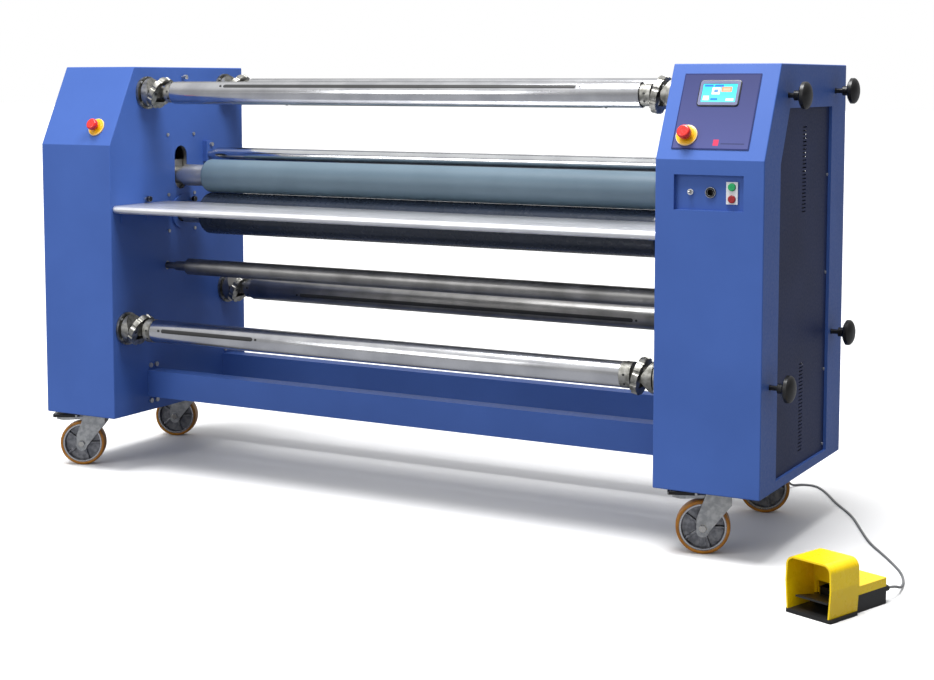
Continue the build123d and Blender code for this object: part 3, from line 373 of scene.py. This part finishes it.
# ---------------------------------------------------------------------------------
# Surfaces
# ---------------------------------------------------------------------------------
@dataclass(frozen=True)
class Axes:
    """A local frame: an origin, an axial direction and two directions across it."""

    origin: tuple[float, float, float]
    axial: tuple[float, float, float]
    across: tuple[float, float, float]
    up: tuple[float, float, float]

    def place(self, axial: Array, across: Array, up: Array) -> Array:
        """Turn three local coordinates into points in metres.

        Args:
            axial: Distances along the axis.
            across: Distances along the second direction, same shape.
            up: Distances along the third direction, same shape.

        Returns:
            Points with the inputs' shape and a last side of three.
        """
        steps = ((axial, self.axial), (across, self.across), (up, self.up))
        return np.array(self.origin) + sum(np.asarray(d)[..., None] * np.array(v) for d, v in steps)


def along_x(x: float, y: float, z: float) -> Axes:
    """Axes of something round that lies along X."""
    return Axes((x, y, z), (1, 0, 0), (0, 1, 0), (0, 0, 1))


@dataclass(frozen=True)
class Shell:
    """A grid of points that becomes one surface."""

    points: Array
    wrap_rows: bool = False
    wrap_columns: bool = False

    def chart(self) -> Array:
        """The grid's own coordinates: u over its columns and v over its rows, each 0 to 1."""
        rows, columns = self.points.shape[:2]
        u, v = np.meshgrid(np.linspace(0, 1, columns), np.linspace(0, 1, rows))
        return np.stack([u, v], axis=-1).reshape(-1, 2)

    def faces(self, start: int) -> Array:
        """Corner numbers of the grid's quads.

        Args:
            start: Number of the grid's first point in the whole mesh.

        Returns:
            One row of four corners for each quad.
        """
        rows, columns = self.points.shape[:2]
        i = np.arange(rows if self.wrap_rows else rows - 1)[:, None]
        j = np.arange(columns if self.wrap_columns else columns - 1)[None, :]
        i2, j2 = (i + 1) % rows, (j + 1) % columns
        corners = [i * columns + j, i * columns + j2, i2 * columns + j2, i2 * columns + j]
        grid = np.stack([np.broadcast_to(c, (i.size, j.size)) for c in corners], axis=-1)
        return grid.reshape(-1, 4) + start


def lathe(axes: Axes, profile: Sequence[tuple[float, float]], turns: int = 64, ring: bool = False) -> Shell:
    """Spin a profile round the axis.

    The point at (row, angle) is the row's axial distance along the axis plus its radius
    times (cos angle, sin angle) across it.

    Args:
        axes: Where the axis is.
        profile: Axial distance and radius of each row.
        turns: How many points go round.
        ring: True when the last row joins the first, as on a ring or a bush.

    Returns:
        The surface.
    """
    rows = np.array(profile)
    angle = np.linspace(0, 2 * math.pi, turns, endpoint=False)
    axial = np.repeat(rows[:, :1], turns, axis=1)
    points = axes.place(axial, rows[:, 1:] * np.cos(angle), rows[:, 1:] * np.sin(angle))
    return Shell(points, wrap_rows=ring, wrap_columns=True)


def slab(axes: Axes, half_across: float, half_up: float, corner: float,
         profile: Sequence[tuple[float, float]], steps: int = 8) -> Shell:
    """Stack rounded rectangles into a slab with shaped edges.

    Each ring is a rectangle whose four corners are quarter circles; a row of the profile
    gives its height along the axis and how far its outline is drawn in.

    Args:
        axes: Centre of the slab's foot, its height and its two sides.
        half_across: Half of its width.
        half_up: Half of its other side.
        corner: Corner radius.
        profile: Height and inset of each ring; an inset of half the short side closes it.
        steps: Points in each corner.

    Returns:
        The surface.
    """
    rows = np.array(profile)
    quarter = np.repeat(np.arange(4), steps)
    angle = np.tile(np.linspace(0, math.pi / 2, steps), 4) + quarter * math.pi / 2
    side_a = np.array([1, -1, -1, 1])[quarter]
    side_b = np.array([1, 1, -1, -1])[quarter]
    inset = rows[:, 1:]
    bend = np.maximum(corner - inset, 0.0)
    a = side_a * (half_across - inset - bend) + bend * np.cos(angle)
    b = side_b * (half_up - inset - bend) + bend * np.sin(angle)
    height = np.repeat(rows[:, :1], angle.size, axis=1)
    return Shell(axes.place(height, a, b), wrap_columns=True)


def make_piece(name: str, shells: Sequence[Shell], finish: Finish, body: str,
               crease: float = 40.0) -> Object:
    """Turn surfaces into one finished piece that rides on a body.

    Args:
        name: The piece's name.
        shells: Its surfaces.
        finish: What it is made of.
        body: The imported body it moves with.
        crease: Edges sharper than this many degrees stay sharp.

    Returns:
        The new object, at the origin with its place in its mesh.
    """
    starts = np.cumsum([0] + [s.points.shape[0] * s.points.shape[1] for s in shells])
    points = np.concatenate([s.points.reshape(-1, 3) for s in shells])
    quads = np.concatenate([s.faces(int(start)) for s, start in zip(shells, starts)])
    charts = [s.chart() for s in shells]
    mesh = bpy.data.meshes.new(name)
    mesh.from_pydata(points.tolist(), [], quads.tolist())
    chart = mesh.uv_layers.new(name="face")
    chart.data.foreach_set("uv", np.concatenate(charts)[quads.reshape(-1)].astype(np.float32).ravel())
    closed = all(s.wrap_columns for s in shells)
    work = bmesh.new()
    work.from_mesh(mesh)
    if closed:
        bmesh.ops.remove_doubles(work, verts=work.verts, dist=1e-6)
        bmesh.ops.dissolve_degenerate(work, edges=work.edges, dist=1e-7)
        bmesh.ops.recalc_face_normals(work, faces=work.faces)
    work.to_mesh(mesh)
    work.free()
    mesh.polygons.foreach_set("use_smooth", np.ones(len(mesh.polygons), dtype=bool))
    mesh.set_sharp_from_angle(angle=math.radians(crease))
    mesh.materials.append(SHOP.get(finish))
    piece = bpy.data.objects.new(name, mesh)
    bpy.context.collection.objects.link(piece)
    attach(piece, body)
    return piece


# ---------------------------------------------------------------------------------
# Sub-assemblies
# ---------------------------------------------------------------------------------
LEFT_WALL = -0.843
RIGHT_WALL = 0.831


class Side(Enum):
    """The two ends of the machine, by the sign of their X."""

    LEFT = -1
    RIGHT = 1

    def web(self, distance: float) -> float:
        """X of a point this far from the end's wall towards the middle."""
        wall = LEFT_WALL if self is Side.LEFT else RIGHT_WALL
        return wall - self.value * distance


@dataclass
class AirShaft:
    """Core shaft: a drawn tube with rubber leaves that swell into the core."""

    name: str
    y: float
    z: float
    first_turn: float
    leaf_spans: tuple[tuple[float, float], ...]
    finish: Finish
    slot: str
    collar: float
    radius: float = 0.0327
    bore: float = 0.024
    leaf_width: float = 0.0125
    leaf_rise: float = 0.0005
    left_clear: float = 0.108
    right_clear: float = 0.103

    def tube(self) -> Shell:
        """The tube with eased ends, closed through its bore."""
        x0, x1 = Side.LEFT.web(self.left_clear), Side.RIGHT.web(self.right_clear)
        r, ease = self.radius, 0.0022
        profile = [(x0, self.bore), (x0, r - ease), (x0 + 0.3 * ease, r - 0.3 * ease), (x0 + ease, r),
                   (x1 - ease, r), (x1 - 0.3 * ease, r - 0.3 * ease), (x1, r - ease), (x1, self.bore)]
        return lathe(along_x(0, self.y, self.z), profile, 96, ring=True)

    def leaf(self, turn: float, x0: float, x1: float) -> Shell:
        """One leaf: a strip bent round the tube, crowned across and round at its ends.

        At the distance d from the nearer end its half width is that of a half circle
        until it is full; the point at (x, s) stands s along the tube's round and rises by
        the crown, one minus the eighth power of s over the half width.

        Args:
            turn: Degrees round the shaft, from the back over the top.
            x0: X of its left end.
            x1: X of its right end.

        Returns:
            The strip.
        """
        half = self.leaf_width / 2
        ease = half * (1 - np.cos(np.linspace(0, math.pi / 2, 9)))
        x = np.concatenate([x0 + ease, np.linspace(x0 + half, x1 - half, 40)[1:-1], (x1 - ease)[::-1]])
        near = np.minimum(np.minimum(x - x0, x1 - x), half)
        width = np.sqrt(np.maximum(half**2 - (half - near)**2, 1e-12))
        s = np.linspace(-1, 1, 13)
        angle = math.radians(turn) + width[:, None] * s / self.radius
        lift = self.radius - 0.0004 + (self.leaf_rise + 0.0004) * (1 - s**8)
        lift = np.broadcast_to(lift, angle.shape)
        axial = np.broadcast_to(x[:, None], angle.shape)
        return Shell(along_x(0, self.y, self.z).place(axial, lift * np.cos(angle), lift * np.sin(angle)))

    def stud(self, turn: float, x: float, radius: float, reach: float) -> Shell:
        """A small round screw head that stands on the shaft, pointing outwards."""
        a = math.radians(turn)
        out = (0.0, math.cos(a), math.sin(a))
        foot = (x, self.y + reach * out[1], self.z + reach * out[2])
        axes = Axes(foot, out, (1, 0, 0), (0, -out[2], out[1]))
        return lathe(axes, [(-0.002, radius), (0.0008, radius), (0.0013, radius * 0.8), (0.0013, 0.0)], 20)

    def build(self) -> None:
        """Build the tube, its leaves and its screws."""
        body = f"{self.name}_shaft"
        make_piece(f"{self.name}_tube", [self.tube()], self.finish, body)
        turns = [self.first_turn + 120.0 * step for step in range(3)]
        leaves = [self.leaf(turn, *span) for turn, span in zip(turns, self.leaf_spans)]
        make_piece(f"{self.name}_leaves", leaves, BLACK_RUBBER, body, crease=60.0)
        screws = []
        for turn, (x0, x1) in zip(turns, self.leaf_spans):
            screws += [self.stud(turn, x0 - 0.010, 0.0034, self.radius),
                       self.stud(turn, x1 + 0.010, 0.0034, self.radius)]
        for side, clear in ((Side.LEFT, 0.099), (Side.RIGHT, 0.090)):
            screws += [self.stud(turn, side.web(clear), 0.003, self.collar)
                       for turn in (96.0, 172.0, 215.0)]
        make_piece(f"{self.name}_screws", screws, PHENOLIC, body)
        log.info("%s shaft built", self.name)


@dataclass
class ChuckRing:
    """Socket screws in the face of a folding chuck ring."""

    shaft: str
    side: Side
    y: float
    z: float
    pivot: float = 0.056
    half_thickness: float = 0.008
    left_lean: float = 28.0
    right_lean: float = -14.0
    screw_radius: float = 0.0042
    screw_spot: float = 0.034

    def build(self) -> None:
        """Put two dark screws on each face of the ring."""
        lean = math.radians(self.left_lean if self.side is Side.LEFT else self.right_lean)
        s = self.side.value
        normal = (-s * math.cos(lean), 0.0, -math.sin(lean))
        up = (-math.sin(lean) * s, 0.0, math.cos(lean))
        head = [(-0.001, self.screw_radius), (0.0005, self.screw_radius), (0.0005, 0.0024), (0.0001, 0.002),
                (0.0001, 0.0)]
        shells = []
        for face in (1, -1):
            for spot in (-self.screw_spot, self.screw_spot):
                foot = (self.side.web(self.pivot) + face * self.half_thickness * normal[0],
                        self.y + spot, self.z + face * self.half_thickness * normal[2])
                axes = Axes(foot, tuple(face * n for n in normal), (0, 1, 0), up)
                shells.append(lathe(axes, head, 20))
        body = f"{self.shaft}_{self.side.name.lower()}_ring"
        make_piece(f"{body}_screws", shells, PHENOLIC, body)


@dataclass
class CasterWheel:
    """Swivel caster wheel: an amber tyre on a die-cast core with five pockets."""

    name: str
    x: float
    y: float
    turn: float
    radius: float = 0.066
    half_width: float = 0.019
    tyre_root: float = 0.0575
    rim_root: float = 0.0520
    bore: float = 0.0075
    hub: float = 0.0165
    web_half: float = 0.006
    rib_half: float = 0.0028
    trail: float = 0.038

    def axes(self) -> Axes:
        """Axle frame of the wheel at rest."""
        c, s = math.cos(math.radians(self.turn)), math.sin(math.radians(self.turn))
        centre = (self.x - self.trail * c, self.y - self.trail * s, self.radius)
        return Axes(centre, (s, -c, 0), (c, s, 0), (0, 0, 1))

    def tyre(self) -> Shell:
        """Tyre section: flat flanks, a crowned tread and a root under the rim, spun round."""
        w, r, root = self.half_width, self.radius, self.tyre_root
        arc = np.linspace(-1, 1, 11)
        crown = [(w * 0.93 * a, r - 0.0012 * abs(a)**3) for a in arc]
        flank = [(w * 0.98, r - 0.0026), (w, r - 0.005), (w * 0.985, root + 0.001), (w * 0.96, root)]
        low = [(-a, b) for a, b in flank[::-1]]
        return lathe(self.axes(), low + crown + flank, 96, ring=True)

    def core(self) -> Shell:
        """Core: half thickness over radius and angle, one surface out and back.

        The half thickness is the web's, raised by a smooth step to the rim's or the hub's
        near those radii, and to the rib's within half a rib of each of five directions.

        Returns:
            The closed surface.
        """
        r_out = np.linspace(self.bore, self.tyre_root + 0.0005, 44)
        r = np.concatenate([r_out, r_out[::-1]])[:, None]
        face = np.concatenate([np.ones(44), -np.ones(44)])[:, None]
        angle = np.linspace(0, 2 * math.pi, 180, endpoint=False)[None, :]
        sector = 2 * math.pi / 5
        off = np.abs((angle + sector / 2) % sector - sector / 2) * r

        def step(value: Array, width: float) -> Array:
            """Smooth step from 0 to 1 as the value grows past zero by a width."""
            t = np.clip(value / width, 0, 1)
            return t * t * (3 - 2 * t)

        rim = step(r - (self.rim_root - 0.0015), 0.0015)
        hub = 1 - step(r - self.hub, 0.002)
        rib = 1 - step(off - self.rib_half, 0.0015)
        half = self.web_half + (self.half_width - 0.001 - self.web_half) * np.maximum(rim, hub)
        half = np.maximum(half, self.web_half + (0.0125 - self.web_half) * rib * np.ones_like(r))
        radius = np.broadcast_to(r, half.shape)
        return Shell(self.axes().place(face * half, radius * np.cos(angle), radius * np.sin(angle)),
                     wrap_rows=True, wrap_columns=True)

    def rims(self) -> list[Shell]:
        """Turned bright edge on both faces of the core."""
        w = self.half_width - 0.0012
        inner, outer = self.rim_root, self.tyre_root - 0.0004
        return [lathe(self.axes(), [(side * (w - 0.001), inner), (side * w, inner + 0.0004),
                                    (side * (w + 0.0006), 0.5 * (inner + outer)), (side * w, outer),
                                    (side * (w - 0.001), outer)], 96, ring=True) for side in (-1, 1)]

    def nuts(self) -> list[Shell]:
        """Hexagon nut and axle end on each fork leg."""
        seat = 0.0290
        return [lathe(self.axes(), [(side * (seat - 0.002), 0.0), (side * (seat - 0.002), 0.0100),
                                    (side * (seat + 0.0055), 0.0100), (side * (seat + 0.0065), 0.0088),
                                    (side * (seat + 0.0065), 0.0)], 6) for side in (-1, 1)]

    def build(self) -> None:
        """Build the tyre and core in place of the plain wheel, with their rims and axle nuts."""
        body = f"{self.name}_wheel"
        tyre = make_piece(f"{self.name}_tyre", [self.tyre()], TYRE_PU, body)
        core = make_piece(f"{self.name}_core", [self.core()], CORE_ALUMINIUM, body, 50.0)
        make_piece(f"{self.name}_rim", self.rims(), RIM_ALUMINIUM, body)
        make_piece(f"{self.name}_nuts", self.nuts(), NICKEL, f"{self.name}_fork", 20.0)
        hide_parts(body)
        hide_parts(body)
        log.info("%s wheel built", self.name)


@dataclass
class BrakePad:
    """Rubber tread cover on a caster's brake lever."""

    name: str
    x: float
    y: float
    turn: float
    reach: float = -0.0895
    height: float = 0.1432
    half_length: float = 0.0345
    half_width: float = 0.0205

    def build(self) -> None:
        """Cover the lever's tread with an eased slab."""
        c, s = math.cos(math.radians(self.turn)), math.sin(math.radians(self.turn))
        foot = (self.x + self.reach * c, self.y + self.reach * s, self.height)
        profile = [(0, 0.02), (0, 0.0012), (0.001, 0), (0.0085, 0), (0.0097, 0.0012), (0.0097, 0.02)]
        axes = Axes(foot, (0, 0, 1), (c, s, 0), (-s, c, 0))
        pad = slab(axes, self.half_length, self.half_width, 0.005, profile)
        make_piece(f"{self.name}_brake_tread", [pad], BLACK_RUBBER, f"{self.name}_brake")


SLOPE_FOOT = (0.0, -0.312, 0.954)
SLOPE_UP = (0.0, 0.44400, 0.89602)
SLOPE_OUT = (0.0, -0.89602, 0.44400)


def on_slope(x: float, up: float, lift: float) -> Axes:
    """Axes on the sloped front: the axial direction leaves it, the last one runs up it."""
    foot = [SLOPE_FOOT[i] + up * SLOPE_UP[i] + lift * SLOPE_OUT[i] for i in range(3)]
    return Axes((x, foot[1], foot[2]), SLOPE_OUT, (1, 0, 0), SLOPE_UP)


@dataclass
class ControlHead:
    """Printed overlay and lit touch screen on the right slope."""

    plate_centre: tuple[float, float] = (0.9615, 0.1245)
    plate_half: tuple[float, float] = (0.0955, 0.0985)
    screen_centre: tuple[float, float] = (0.9605, 0.171)
    screen_half: tuple[float, float] = (0.0425, 0.0235)

    def sheet(self, centre: tuple[float, float], half: tuple[float, float], lift: float) -> Shell:
        """A flat grid on the slope whose own chart runs from its lower left corner."""
        across, up = np.meshgrid(np.linspace(-half[0], half[0], 12), np.linspace(-half[1], half[1], 12))
        return Shell(on_slope(*centre, lift).place(np.zeros_like(across), across, up))

    def bezel(self) -> Shell:
        """Dark rounded frame line round the screen's housing."""
        profile = [(0.0, 0.004), (0.0, 0.0), (0.0012, 0.0), (0.0016, 0.0006), (0.0016, 0.004)]
        return slab(on_slope(*self.screen_centre, 0.0016), 0.0522, 0.0342, 0.008, profile)

    def build(self) -> None:
        """Build the overlay, the frame line and the lit face."""
        make_piece("control_overlay", [self.sheet(self.plate_centre, self.plate_half, 0.0016)],
                   PLATE_PRINT, "frame")
        make_piece("screen_frame_line", [self.bezel()], BLACK_PLASTIC, "frame")
        make_piece("screen_face", [self.sheet(self.screen_centre, self.screen_half, 0.0039)],
                   SCREEN_IMAGE, "frame")
        log.info("control head built")


@dataclass
class StopStation:
    """Yellow collar under an emergency stop's red head."""

    name: str
    x: float
    up: float
    lift: float
    radius: float = 0.0267
    bore: float = 0.0089

    def build(self) -> None:
        """Build the collar as a ring with an eased rim and a raised inner ledge."""
        r = self.radius
        profile = [(0, self.bore), (0, r), (0.0022, r), (0.0031, r - 0.0012), (0.0033, 0.0195),
                   (0.0048, 0.0180), (0.0048, self.bore)]
        ring = lathe(on_slope(self.x, self.up, self.lift), profile, 72, ring=True)
        make_piece(f"{self.name}_stop_collar", [ring], YELLOW_ABS, "frame")


@dataclass
class SwitchRow:
    """Toggle bush and round key socket in the recess under the slope."""

    floor: float = -0.300
    height: float = 0.878
    toggle_x: float = 0.916
    socket_x: float = 0.966

    def facing(self, x: float) -> Axes:
        """Axes that leave the recess floor towards the operator."""
        return Axes((x, self.floor, self.height), (0, -1, 0), (1, 0, 0), (0, 0, 1))

    def build(self) -> None:
        """Build the two round fittings as closed rings over the plain ones."""
        nut = [(0, 0.0056), (0, 0.0073), (0.0030, 0.0073), (0.0042, 0.0062), (0.0042, 0.0056)]
        bush = lathe(self.facing(self.toggle_x), nut, 6, ring=True)
        make_piece("toggle_nut", [bush], NICKEL, "frame", 20.0)
        lip = [(0, 0.0079), (0, 0.0127), (0.0032, 0.0127), (0.0042, 0.0118), (0.0042, 0.0082),
               (0.0034, 0.0079)]
        rim = lathe(self.facing(self.socket_x), lip, 48, ring=True)
        cup = [(-0.012, 0.0), (-0.012, 0.0078), (0.0034, 0.0078), (0.0034, 0.0074), (-0.0115, 0.0072),
               (-0.0115, 0.0)]
        well = lathe(self.facing(self.socket_x), cup, 32)
        make_piece("socket_rim", [rim, well], BLACK_PLASTIC, "frame")
        log.info("switch row built")


@dataclass
class VentShadeSheet:
    """Black sheet behind the slots of the access panels: painted shade, standing for the dark inside of the
    cabinet seen through them.
    """

    panel: float = 1.086
    half_width: float = 0.024
    bands: tuple[tuple[float, float], ...] = ((0.800, 1.043), (0.206, 0.458))

    def build(self) -> None:
        """Build one thin black sheet of painted shade behind each band of slots, on both sides."""
        shells = []
        for side in Side:
            for low, high in self.bands:
                foot = (side.value * self.panel, 0.003, 0.5 * (low + high))
                profile = [(0, self.half_width), (0, 0.0), (0.002, 0.0), (0.002, self.half_width)]
                shells.append(slab(Axes(foot, (-side.value, 0, 0), (0, 1, 0), (0, 0, 1)), self.half_width,
                                   0.5 * (high - low), 0.002, profile))
        # painted shade: a black sheet behind each band of slots makes them read as dark as the shaded
        # inside of the cabinet
        make_piece("vent_shade_sheets", shells, BLACK_RUBBER, "frame")
        log.info("vent filters built")


@dataclass
class TableKnobs:
    """Black thumb screws that clamp the table's ends."""

    spots: tuple[tuple[float, float], ...] = ((-0.160, 0.793), (0.050, 0.781))
    radius: float = 0.0087

    def build(self) -> None:
        """Build one round cap over each plain screw, on both walls."""
        shells = []
        r = self.radius
        cap = [(0, 0.0), (0, r - 0.001), (0.001, r), (0.0092, r), (0.0108, r - 0.0014), (0.0108, 0.0)]
        for side in Side:
            for y, z in self.spots:
                axes = Axes((side.web(0.0095), y, z), (-side.value, 0, 0), (0, 1, 0), (0, 0, 1))
                shells.append(lathe(axes, cap, 24))
        make_piece("table_thumb_knobs", shells, PHENOLIC, "frame")
        log.info("thumb knobs built")


@dataclass
class PedalCord:
    """Foot-switch cord from the back gland over the floor to the switch."""

    radius: float = 0.003
    length: float = 1.411
    route: tuple[tuple[float, float, float], ...] = (
        (0.905, 0.336, 0.190), (0.905, 0.372, 0.190), (0.905, 0.408, 0.175), (0.904, 0.434, 0.135),
        (0.903, 0.452, 0.080), (0.905, 0.472, 0.032), (0.909, 0.506, 0.004), (0.928, 0.540, 0.0032),
        (0.966, 0.542, 0.0032), (1.000, 0.505, 0.0032), (1.036, 0.448, 0.0032), (1.073, 0.383, 0.0032),
        (1.111, 0.328, 0.0032), (1.150, 0.270, 0.0032), (1.190, 0.189, 0.0032), (1.228, 0.107, 0.0032),
        (1.268, 0.028, 0.0032), (1.318, -0.046, 0.0032), (1.364, -0.118, 0.0032), (1.403, -0.188, 0.0032),
        (1.424, -0.256, 0.0032), (1.432, -0.314, 0.009), (1.4322, -0.3630, 0.027),
        (1.4223, -0.39345, 0.030),
    )

    def build(self) -> Object:
        """Returns:
            The curve object.
        """
        curve = bpy.data.curves.new("pedal_cord_sheath", "CURVE")
        curve.dimensions = "3D"
        curve.bevel_depth = self.radius
        curve.bevel_resolution = 6
        curve.resolution_u = 10
        spline = curve.splines.new("NURBS")
        spline.points.add(len(self.route) - 1)
        spline.points.foreach_set("co", np.array([(*p, 1.0) for p in self.route]).ravel())
        spline.order_u = 3
        spline.use_endpoint_u = True
        curve.materials.append(SHOP.get(CORD_PVC))
        cord = bpy.data.objects.new("pedal_cord_sheath", curve)
        bpy.context.collection.objects.link(cord)
        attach(cord, "frame")
        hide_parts("pedal_cord")
        log.info("pedal cord built")
        return cord


# ---------------------------------------------------------------------------------
# Studio
# ---------------------------------------------------------------------------------
@dataclass(frozen=True)
class SoftBox:
    """One soft area light: where it hangs, where it aims, its size and its power."""

    name: str
    place: tuple[float, float, float]
    aim: tuple[float, float, float]
    size: tuple[float, float]
    watts: float

    def hang(self) -> None:
        """Add the light to the scene."""
        lamp = bpy.data.lights.new(self.name, "AREA")
        lamp.shape = "RECTANGLE"
        lamp.size, lamp.size_y = self.size
        lamp.energy = self.watts
        holder = bpy.data.objects.new(self.name, lamp)
        bpy.context.collection.objects.link(holder)
        holder.location = self.place
        way = np.array(self.aim) - np.array(self.place)
        flat = math.hypot(way[0], way[1])
        holder.rotation_euler = (math.atan2(flat, -way[2]), 0.0, math.atan2(way[1], way[0]) - math.pi / 2)


@dataclass
class Studio:
    """Pale floor, soft light from above and the camera."""

    floor_half: float = 60.0
    camera_place: tuple[float, float, float] = (2.3682, -3.9752, 1.1355)
    camera_yaw: float = 29.188
    camera_pitch: float = 4.997
    lens: float = 64.52
    rise: float = -0.12
    ceiling_turn: tuple[float, float, float] = (13.0, 0.0, -14.0)
    ceiling_spread: float = 26.0
    ceiling_light: float = 3.0
    boxes: tuple[SoftBox, ...] = (
        SoftBox("front_left_softbox", (-2.2, -4.6, 2.4), (0.0, 0.0, 0.6), (2.6, 2.0), 62.0),
        SoftBox("middle_softbox", (0.45, -0.5, 2.7), (-0.85, 0.0, 0.9), (0.9, 0.9), 42.0),
    )

    def floor_paper(self) -> Material:
        """White paper to the camera, but grey to every other ray.

        A white floor would light the machine from below and whiten its steel; the grey
        stands for the dim shop floor which such a machine reflects.
        """
        material = SHOP.get(STUDIO_PAPER)
        tree = material.node_tree
        shader = tree.nodes["Principled BSDF"]
        ray = add_node(tree, "LightPath")
        dim = add_node(tree, "BsdfDiffuse", {"Color": linear("#8A8B8E")})
        mix = add_node(tree, "MixShader", links={0: ray.outputs["Is Camera Ray"], 1: dim.outputs[0],
                                                 2: shader.outputs[0]})
        tree.links.new(mix.outputs[0], tree.nodes["Material Output"].inputs["Surface"])
        return material

    def floor(self) -> None:
        """Lay the floor as one flat grid."""
        x, y = np.meshgrid(np.linspace(-1, 1, 3) * self.floor_half, np.linspace(-1, 1, 3) * self.floor_half)
        mesh = bpy.data.meshes.new("studio_floor")
        shell = Shell(np.stack([x, y, np.zeros_like(x)], axis=-1))
        mesh.from_pydata(shell.points.reshape(-1, 3).tolist(), [], shell.faces(0).tolist())
        mesh.materials.append(self.floor_paper())
        ground = bpy.data.objects.new("studio_floor", mesh)
        bpy.context.collection.objects.link(ground)

    def sky(self) -> None:
        """Surround: white to the camera; for light and reflections, bright overhead and dim to the right.

        The light of a direction is a ramp over its height times a ramp over its X.
        """
        world = bpy.data.worlds.new("studio_surround")
        bpy.context.scene.world = world
        world.use_nodes = True
        tree = world.node_tree
        seen = tree.nodes["Background"]
        seen.inputs["Color"].default_value = (1.0, 1.0, 1.0, 1.0)
        way = add_node(tree, "TexCoord")
        split = add_node(tree, "SeparateXYZ", links={0: way.outputs["Generated"]})
        height = self.ramp(tree, split.outputs[2],
                           ((0.0, 0.45), (0.08, 0.45), (0.25, 0.42), (0.5, 0.8), (1.0, 1.0)))
        turn = add_node(tree, "MapRange", {"From Min": -1.0, "From Max": 1.0}, {"Value": split.outputs[0]})
        side = self.ramp(tree, turn.outputs[0], ((0.0, 1.0), (0.45, 1.0), (0.8, 0.55), (1.0, 0.45)))
        both = add_node(tree, "VectorMath", {"operation": "MULTIPLY"}, {0: height, 1: side})
        lit = add_node(tree, "Background", {"Strength": 1.0}, {"Color": both.outputs[0]})
        ray = add_node(tree, "LightPath")
        mix = add_node(tree, "MixShader", links={0: ray.outputs["Is Camera Ray"], 1: lit.outputs[0],
                                                 2: seen.outputs[0]})
        tree.links.new(mix.outputs[0], tree.nodes["World Output"].inputs["Surface"])

    def ramp(self, tree: NodeTree, value: NodeSocket, stops: Sequence[tuple[float, float]]) -> NodeSocket:
        """Grey ramp over a value.

        Args:
            tree: The tree that takes the ramp.
            value: What the ramp reads.
            stops: Position and brightness of each stop.

        Returns:
            The ramp's colour.
        """
        made = add_node(tree, "ValToRGB", links={"Fac": value})
        elements = made.color_ramp.elements
        while len(elements) < len(stops):
            elements.new(0.5)
        for stop, (place, light) in zip(elements, stops):
            stop.position = place
            stop.color = (light, light, light, 1.0)
        return made.outputs[0]

    def ceiling(self) -> None:
        """Hang the ceiling light: one wide, even light from above and a little in front."""
        lamp = bpy.data.lights.new("ceiling_light", "SUN")
        lamp.energy = self.ceiling_light
        lamp.angle = math.radians(self.ceiling_spread)
        holder = bpy.data.objects.new("ceiling_light", lamp)
        bpy.context.collection.objects.link(holder)
        holder.rotation_euler = tuple(math.radians(a) for a in self.ceiling_turn)

    def camera(self) -> None:
        """Stand the camera at the operator's right, a little above the shafts."""
        data = bpy.data.cameras.new("portrait_camera")
        data.sensor_width = 36.0
        data.lens = self.lens
        data.shift_y = self.rise
        holder = bpy.data.objects.new("portrait_camera", data)
        bpy.context.collection.objects.link(holder)
        holder.location = self.camera_place
        holder.rotation_euler = (math.radians(90 - self.camera_pitch), 0.0, math.radians(self.camera_yaw))
        bpy.context.scene.camera = holder

    def build(self) -> None:
        """Set up the whole studio."""
        self.floor()
        self.sky()
        self.ceiling()
        for box in self.boxes:
            box.hang()
        self.camera()
        bpy.context.scene.view_settings.view_transform = "Standard"
        log.info("studio set up")


def main() -> None:
    """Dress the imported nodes, build every sub-assembly and set up the studio."""
    logging.basicConfig(level=logging.INFO, format="%(name)s: %(message)s")
    log.info("%d packed nodes dressed", SHOP.dress_nodes())
    spans = ((-0.600, 0.300), (-0.543, 0.558), (-0.330, 0.620))
    short_spans = ((-0.600, 0.600), (-0.690, -0.370), (-0.600, 0.600))
    shafts = (
        AirShaft("upper_front", -0.148, 1.103, 22.0, spans, DRAWN_ALUMINIUM, "shaft_aluminium", 0.028),
        AirShaft("upper_rear", 0.222, 1.112, 22.0, spans, DRAWN_ALUMINIUM, "shaft_aluminium", 0.028),
        AirShaft("lower_front", -0.252, 0.422, 48.0, short_spans, DRAWN_ALUMINIUM, "shaft_aluminium",
                 0.0335),
        AirShaft("lower_rear", 0.224, 0.493, 70.0, spans, DARK_ANODISED, "dark_anodised", 0.028),
    )
    for shaft in shafts:
        shaft.build()
        for side in Side:
            ChuckRing(shaft.name, side, shaft.y, shaft.z).build()
    casters = (("front_left", -0.995, -0.220, 30.0), ("front_right", 0.966, -0.218, 20.0),
               ("rear_left", -1.012, 0.236, 25.0), ("rear_right", 0.966, 0.228, 20.0))
    for caster in casters:
        CasterWheel(*caster).build()
    for caster in casters[:2]:
        BrakePad(*caster).build()
    ControlHead().build()
    StopStation("left", -0.9115, 0.056, 0.0001).build()
    StopStation("right", 0.899, 0.061, 0.0016).build()
    SwitchRow().build()
    TableKnobs().build()
    VentShadeSheet().build()
    PedalCord().build()
    Studio().build()


if __name__ == "__main__":
    main()
